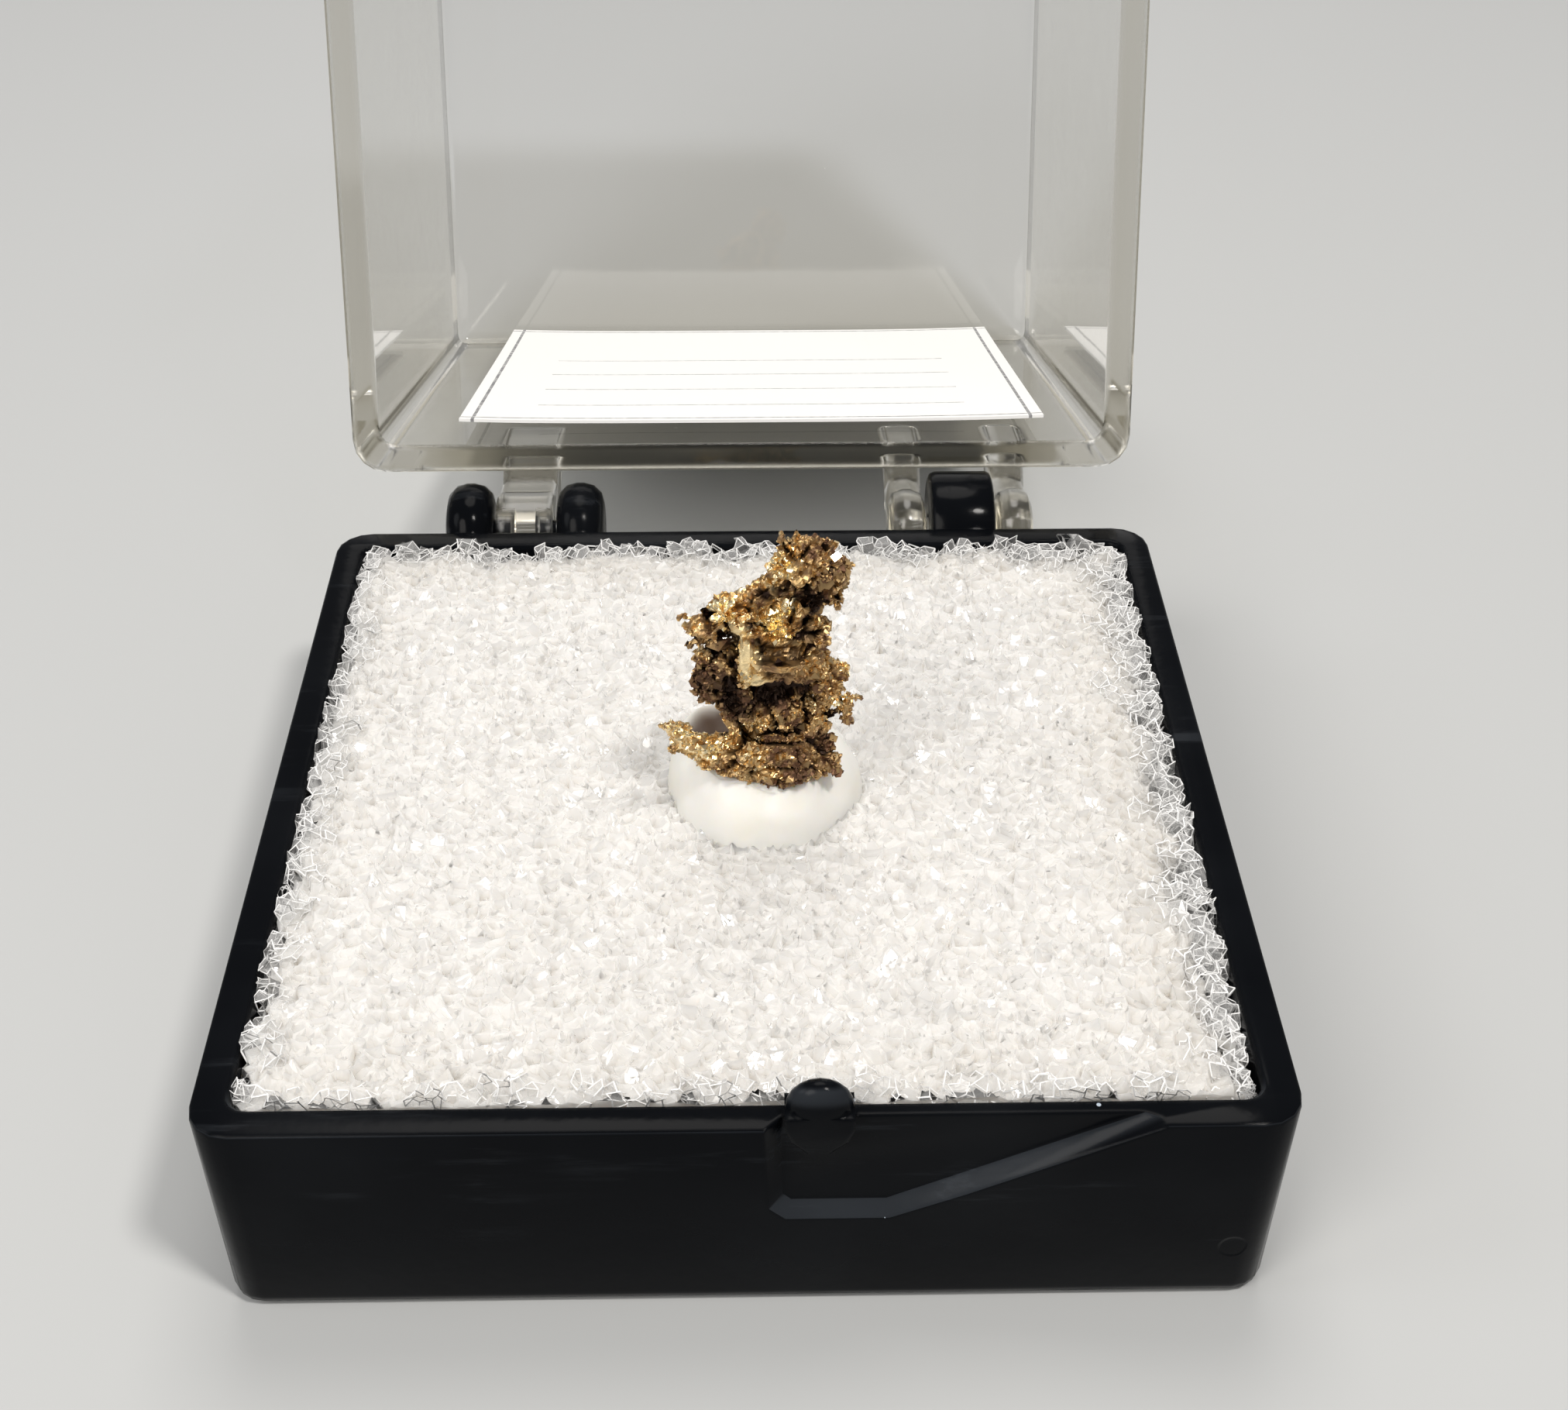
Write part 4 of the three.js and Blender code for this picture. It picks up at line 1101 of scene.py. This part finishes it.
# Bright or tarnished, by the patches that a place lies in.
def patchTones(points):
    tone, tarnishAndShade = np.zeros(len(points)), np.zeros(len(points))
    for middle, reach, brighter, darker in specimen["patches"]:
        away = (points - np.array(middle) - (0, 0, rimHeight)) * (1, 0.55, 1)
        share = 1 - smoothStep(0.35, 1.1, np.linalg.norm(away, axis=1) / reach)
        tone += brighter * share
        tarnishAndShade += darker * share
    return tone, tarnishAndShade


def fromPlate(points):
    middle = np.array(specimen["plate"][0])
    return np.linalg.norm((points - middle - np.array((0, 0, rimHeight))) * (1, 0.8, 1), axis=1)


# The places on the skin where crystals grow, with the way each faces and the skin point that it grows by.
def grownSpots(rng, carved, triangles, crevices):
    a, b, c = (carved[triangles[:, k]] for k in range(3))
    across = np.cross(b - a, c - a)
    areas = np.linalg.norm(across, axis=1)
    chosen = rng.choice(len(triangles), specimen["crystals"], p=areas / areas.sum())
    spots = (a + b + c)[chosen] / 3
    facing = (across / np.maximum(areas, 1e-9)[:, None])[chosen]
    owner = triangles[chosen, 0]
    raised = rng.random(len(spots)) > crevices[owner] * 0.9
    fewer, upward, rightward = specimen["thinned"]
    heights = spots[:, 2] - rimHeight
    grainy = 1 - fewer * smoothStep(*upward, heights) * (1 - smoothStep(*rightward, spots[:, 0]))
    offPlate = (fromPlate(spots) > specimen["plate"][1]) | (rng.random(len(spots)) < specimen["onPlate"])
    keep = raised & offPlate & (rng.random(len(spots)) < grainy)
    return spots[keep], facing[keep], owner[keep]


def makeSpecimen(material):
    rng = np.random.default_rng(specimen["seed"])
    body, normals, faces, triangles = evenSkin()
    tree = metalTree()
    carved, crevices, ridged = carvedSkin(body, normals, tree)
    closed = closedSkin(rng, body, normals, tree)
    shift, tarnishAndShade = patchTones(body)
    cellTones = np.array([noise.cell(Vector(point) / specimen["cellTone"]) for point in body]) * 0.5 + 0.5
    onPlate = 1 - smoothStep(0.85, 1.15, fromPlate(body) / specimen["plate"][1])
    cellTones += 0.6 * (0.5 - cellTones) * onPlate

    spots, facing, owner = grownSpots(rng, carved, triangles, crevices)
    count = len(spots)
    sizes = rng.uniform(*specimen["size"], count)
    big = rng.random(count) < specimen["bigShare"]
    sizes[big] = rng.uniform(*specimen["bigSize"], big.sum())
    turns = randomTurns(rng, count)
    stretch = np.stack([np.ones(count), rng.uniform(0.6, 1, count), rng.uniform(0.35, 1, count)], -1)
    centres = spots + facing * (sizes * rng.uniform(-0.3, 0.3, count))[:, None]
    kinds = rng.choice(3, count, p=specimen["kinds"])
    crystalTones = rng.random(count)
    for place, facingOut, size, kind, tone in specimen["placed"]:
        place = np.array(place) + (0, 0, rimHeight)
        one = int(np.argmin(np.linalg.norm(spots - place, axis=1)))
        lying = Vector(facingOut).to_track_quat("Z", "Y").to_matrix() @ Matrix.Rotation(0.5, 3, "Z")
        kinds[one], sizes[one], stretch[one], turns[one] = kind, size, (1.1, 0.8, 0.6), np.array(lying)
        centres[one] = spots[one] * 0.5 + place * 0.5
        crystalTones[one], crevices[owner[one]] = tone, 0

    points = [carved]
    least, further = specimen["skinTones"]
    tones = [np.clip(least + further * cellTones + shift, 0, 1)]
    # how closed in and creased each point is darkens it: tarnish and painted shade
    hollows = [np.clip(closed + 0.7 * crevices + tarnishAndShade, 0, 1)]
    total = len(carved)
    for kind, (shapePoints, shapeFaces) in enumerate(crystalShapes()):
        corners = len(shapePoints)
        picked = np.flatnonzero(kinds == kind)
        local = np.array(shapePoints)[None] * (stretch * sizes[:, None])[picked][:, None]
        placed = np.einsum("nij,nkj->nki", turns[picked], local) + centres[picked][:, None]
        points.append(placed.reshape(-1, 3))
        own = owner[picked]
        tones.append(np.repeat(np.clip(crystalTones[picked] * 0.85 - 0.08 + shift[own], 0, 1), corners))
        # crystals take the painted shade and tarnish of the skin they grow from
        hollow = closed[own] + 0.5 * crevices[own] + tarnishAndShade[own] - 0.15
        hollows.append(np.repeat(np.clip(hollow, 0, 1), corners))
        for start in range(total, total + len(picked) * corners, corners):
            faces += [tuple(start + corner for corner in face) for face in shapeFaces]
        total += len(picked) * corners
    print("specimen:", len(carved), "skin points,", count, "crystals")
    piece = makePiece("native_metal_crystals", np.concatenate(points), faces, material, {
        "crystalTone": np.concatenate(tones),
        "cavityTarnishAndShade": np.concatenate(hollows),
        "ridgeRubAndPaintedHighlight": np.pad(ridged, (0, total - len(carved))),
    })
    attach(piece, "base")
    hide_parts("native_metal_specimen")


metal = {
    # near-black that hollows and dark patches are mixed to: tarnish and painted shade
    "tarnishAndShade": (0.022, 0.010, 0.005, 1),
    "brown": (0.17, 0.088, 0.048, 1),
    "gold": (0.70, 0.475, 0.215, 1),
    "bright": (1.0, 0.85, 0.54, 1),
    "rubAndPaintedLight": (1.0, 0.8, 0.45, 1),  # the ridge, rubbed bright and fine-scratched, its pale colour also a painted highlight
}


def nativeMetal():
    material, tree, shader = newMaterial("nativeMetal")
    place = objectCoords(tree)
    cloud, fine = noiseNode(tree, place, 1300, 3), noiseNode(tree, place, 7000, 3)
    patch = mapRange(tree, cloud, 0.25, 0.75, -0.3, 0.3)
    toned = mathNode(tree, "ADD", attributeValue(tree, "crystalTone"), patch, clamp=True)
    ramp = tree.nodes.new("ShaderNodeValToRGB")
    tree.links.new(toned, ramp.inputs["Fac"])
    stops = ramp.color_ramp.elements
    stops[0].color, stops[1].color = metal["brown"], metal["bright"]
    stops.new(0.62).color = metal["gold"]
    # hollows are mixed towards near-black: tarnish and painted shade
    deep = mapRange(tree, attributeValue(tree, "cavityTarnishAndShade"), 0.3, 0.8)
    plain = mixColor(tree, deep, ramp.outputs["Color"], metal["tarnishAndShade"])
    # the ridge is painted pale and made less metallic: a painted highlight over rubbed metal
    ridge = mathNode(tree, "MULTIPLY", attributeValue(tree, "ridgeRubAndPaintedHighlight"), mapRange(tree, cloud, 0.3, 0.5))
    bare = mapRange(tree, toned, 0.1, 0.6, 0.72, 1.0)
    ridgeLessMetal = mathNode(tree, "MULTIPLY", ridge, 0.42)
    rough = mapRange(tree, toned, 0.0, 1.0, 0.42, 0.2)
    worn = mathNode(tree, "MULTIPLY", fine, 0.12)
    setInputs(tree, shader, {
        "Base Color": mixColor(tree, ridge, plain, metal["rubAndPaintedLight"]),
        "Metallic": mathNode(tree, "SUBTRACT", bare, ridgeLessMetal, clamp=True),
        "Roughness": mathNode(tree, "ADD", rough, worn, clamp=True),
        "Normal": bumpNode(tree, fine, 0.2, 0.00002),
    })
    return material


# paper label

label = {
    "width": 24.4,
    "length": 23.8,
    "thickness": 0.12,
    "fromRim": 1.7,
    "x": 0.4,
    "back": 14.32,  # how far back it lies in the shut box
    "curl": 0.12,
    "steps": 26,
    "border": (0.55, 0.45, 0.14),  # the border line's distances from the edges and its width
    "ruled": (3.4, 7.2, 11.0, 14.8),
    "ruledWidth": 0.1,
    "margin": 3,
    "paper": (0.97, 0.965, 0.95, 1),
    "ink": (0.16, 0.16, 0.17, 1),
}


# A place in the shut box, given where it goes once the lid has swung open.
def swungOpen(point):
    turned = Matrix.Rotation(-lidSwing, 3, "X") @ (Vector(point) - hingeLine)
    return turned + hingeLine


def makeLabel(material):
    steps = label["steps"]
    row = steps + 1
    points, faces, across, along = [], [], [], []
    for side, i, j in product((0, 1), range(row), range(row)):
        u, v = i / steps, j / steps
        x = label["x"] + (u - 0.5) * label["width"]
        z = rimHeight + label["fromRim"] + v * label["length"]
        curl = label["curl"] * (abs(2 * u - 1) ** 4 + 0.6 * v ** 5)
        y = label["back"] - side * label["thickness"] - curl
        points.append(tuple(swungOpen((x, y, z))))
        across.append(u * label["width"])
        along.append(v * label["length"])
    size = row * row
    for i, j in product(range(steps), repeat=2):
        a = i * row + j
        b = a + row
        faces += [(a, a + 1, b + 1, b), (size + a, size + b, size + b + 1, size + a + 1)]
    border = [i * row for i in range(steps)]
    border += [steps * row + j for j in range(steps)]
    border += [i * row + steps for i in range(steps, 0, -1)]
    border += list(range(steps, 0, -1))
    faces += [(a, b, size + b, size + a) for a, b in pairs(border)]
    values = {"labelAcross": across, "labelAlong": along}
    piece = makePiece("paper_label_sheet", points, faces, material, values)
    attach(piece, "lid")
    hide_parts("paper_label")


def labelPaper():
    material, tree, shader = newMaterial("labelPaper")
    across, along = attributeValue(tree, "labelAcross"), attributeValue(tree, "labelAlong")
    width, length = label["width"], label["length"]

    # how far a value lies from a place
    def gap(value, at):
        return mathNode(tree, "ABSOLUTE", mathNode(tree, "SUBTRACT", value, at))

    # a printed line where that is less than half its width
    def printed(value, at, thick):
        return mathNode(tree, "LESS_THAN", gap(value, at), thick / 2)

    fromSide, fromEnd, thick = label["border"]
    lines = [printed(value, at, thick) for value, at in (
        (across, fromSide), (across, width - fromSide), (along, fromEnd), (along, length - fromEnd))]
    inside = mathNode(tree, "LESS_THAN", gap(across, width / 2), width / 2 - label["margin"])
    lines += [mathNode(tree, "MULTIPLY", printed(along, at, label["ruledWidth"]), inside)
              for at in label["ruled"]]
    ink = mathNode(tree, "MAXIMUM", *lines)
    fibre = noiseNode(tree, objectCoords(tree), 3000, 4)
    faded = mathNode(tree, "MULTIPLY", ink, mapRange(tree, fibre, 0.3, 0.6, 0.5, 0.9))
    setInputs(tree, shader, {
        "Base Color": mixColor(tree, faded, label["paper"], label["ink"]),
        "Roughness": mapRange(tree, fibre, 0.3, 0.7, 0.75, 0.95),
        "Normal": bumpNode(tree, fibre, 0.3, 0.00003),
    })
    return material


def dressNode(name, material):
    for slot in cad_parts[name].material_slots:
        slot.material = material


placeCamera()
makeStudio()
print("studio ready")

dressNode("base_tray", blackPlastic())
dressNode("clear_lid", clearPlastic())
smoothFlats("base_tray", tray["sharpest"])
print("tray and lid dressed")

foamFinish = whiteFoam()
makeFoam(foamFinish)
makeShards(foamFinish)
makeBubbles(bubbleFilm())
print("foam torn")
makePutty(creamPutty())
print("putty pressed")
makeSpecimen(nativeMetal())
print("specimen grown")
makeLabel(labelPaper())
print("label laid")
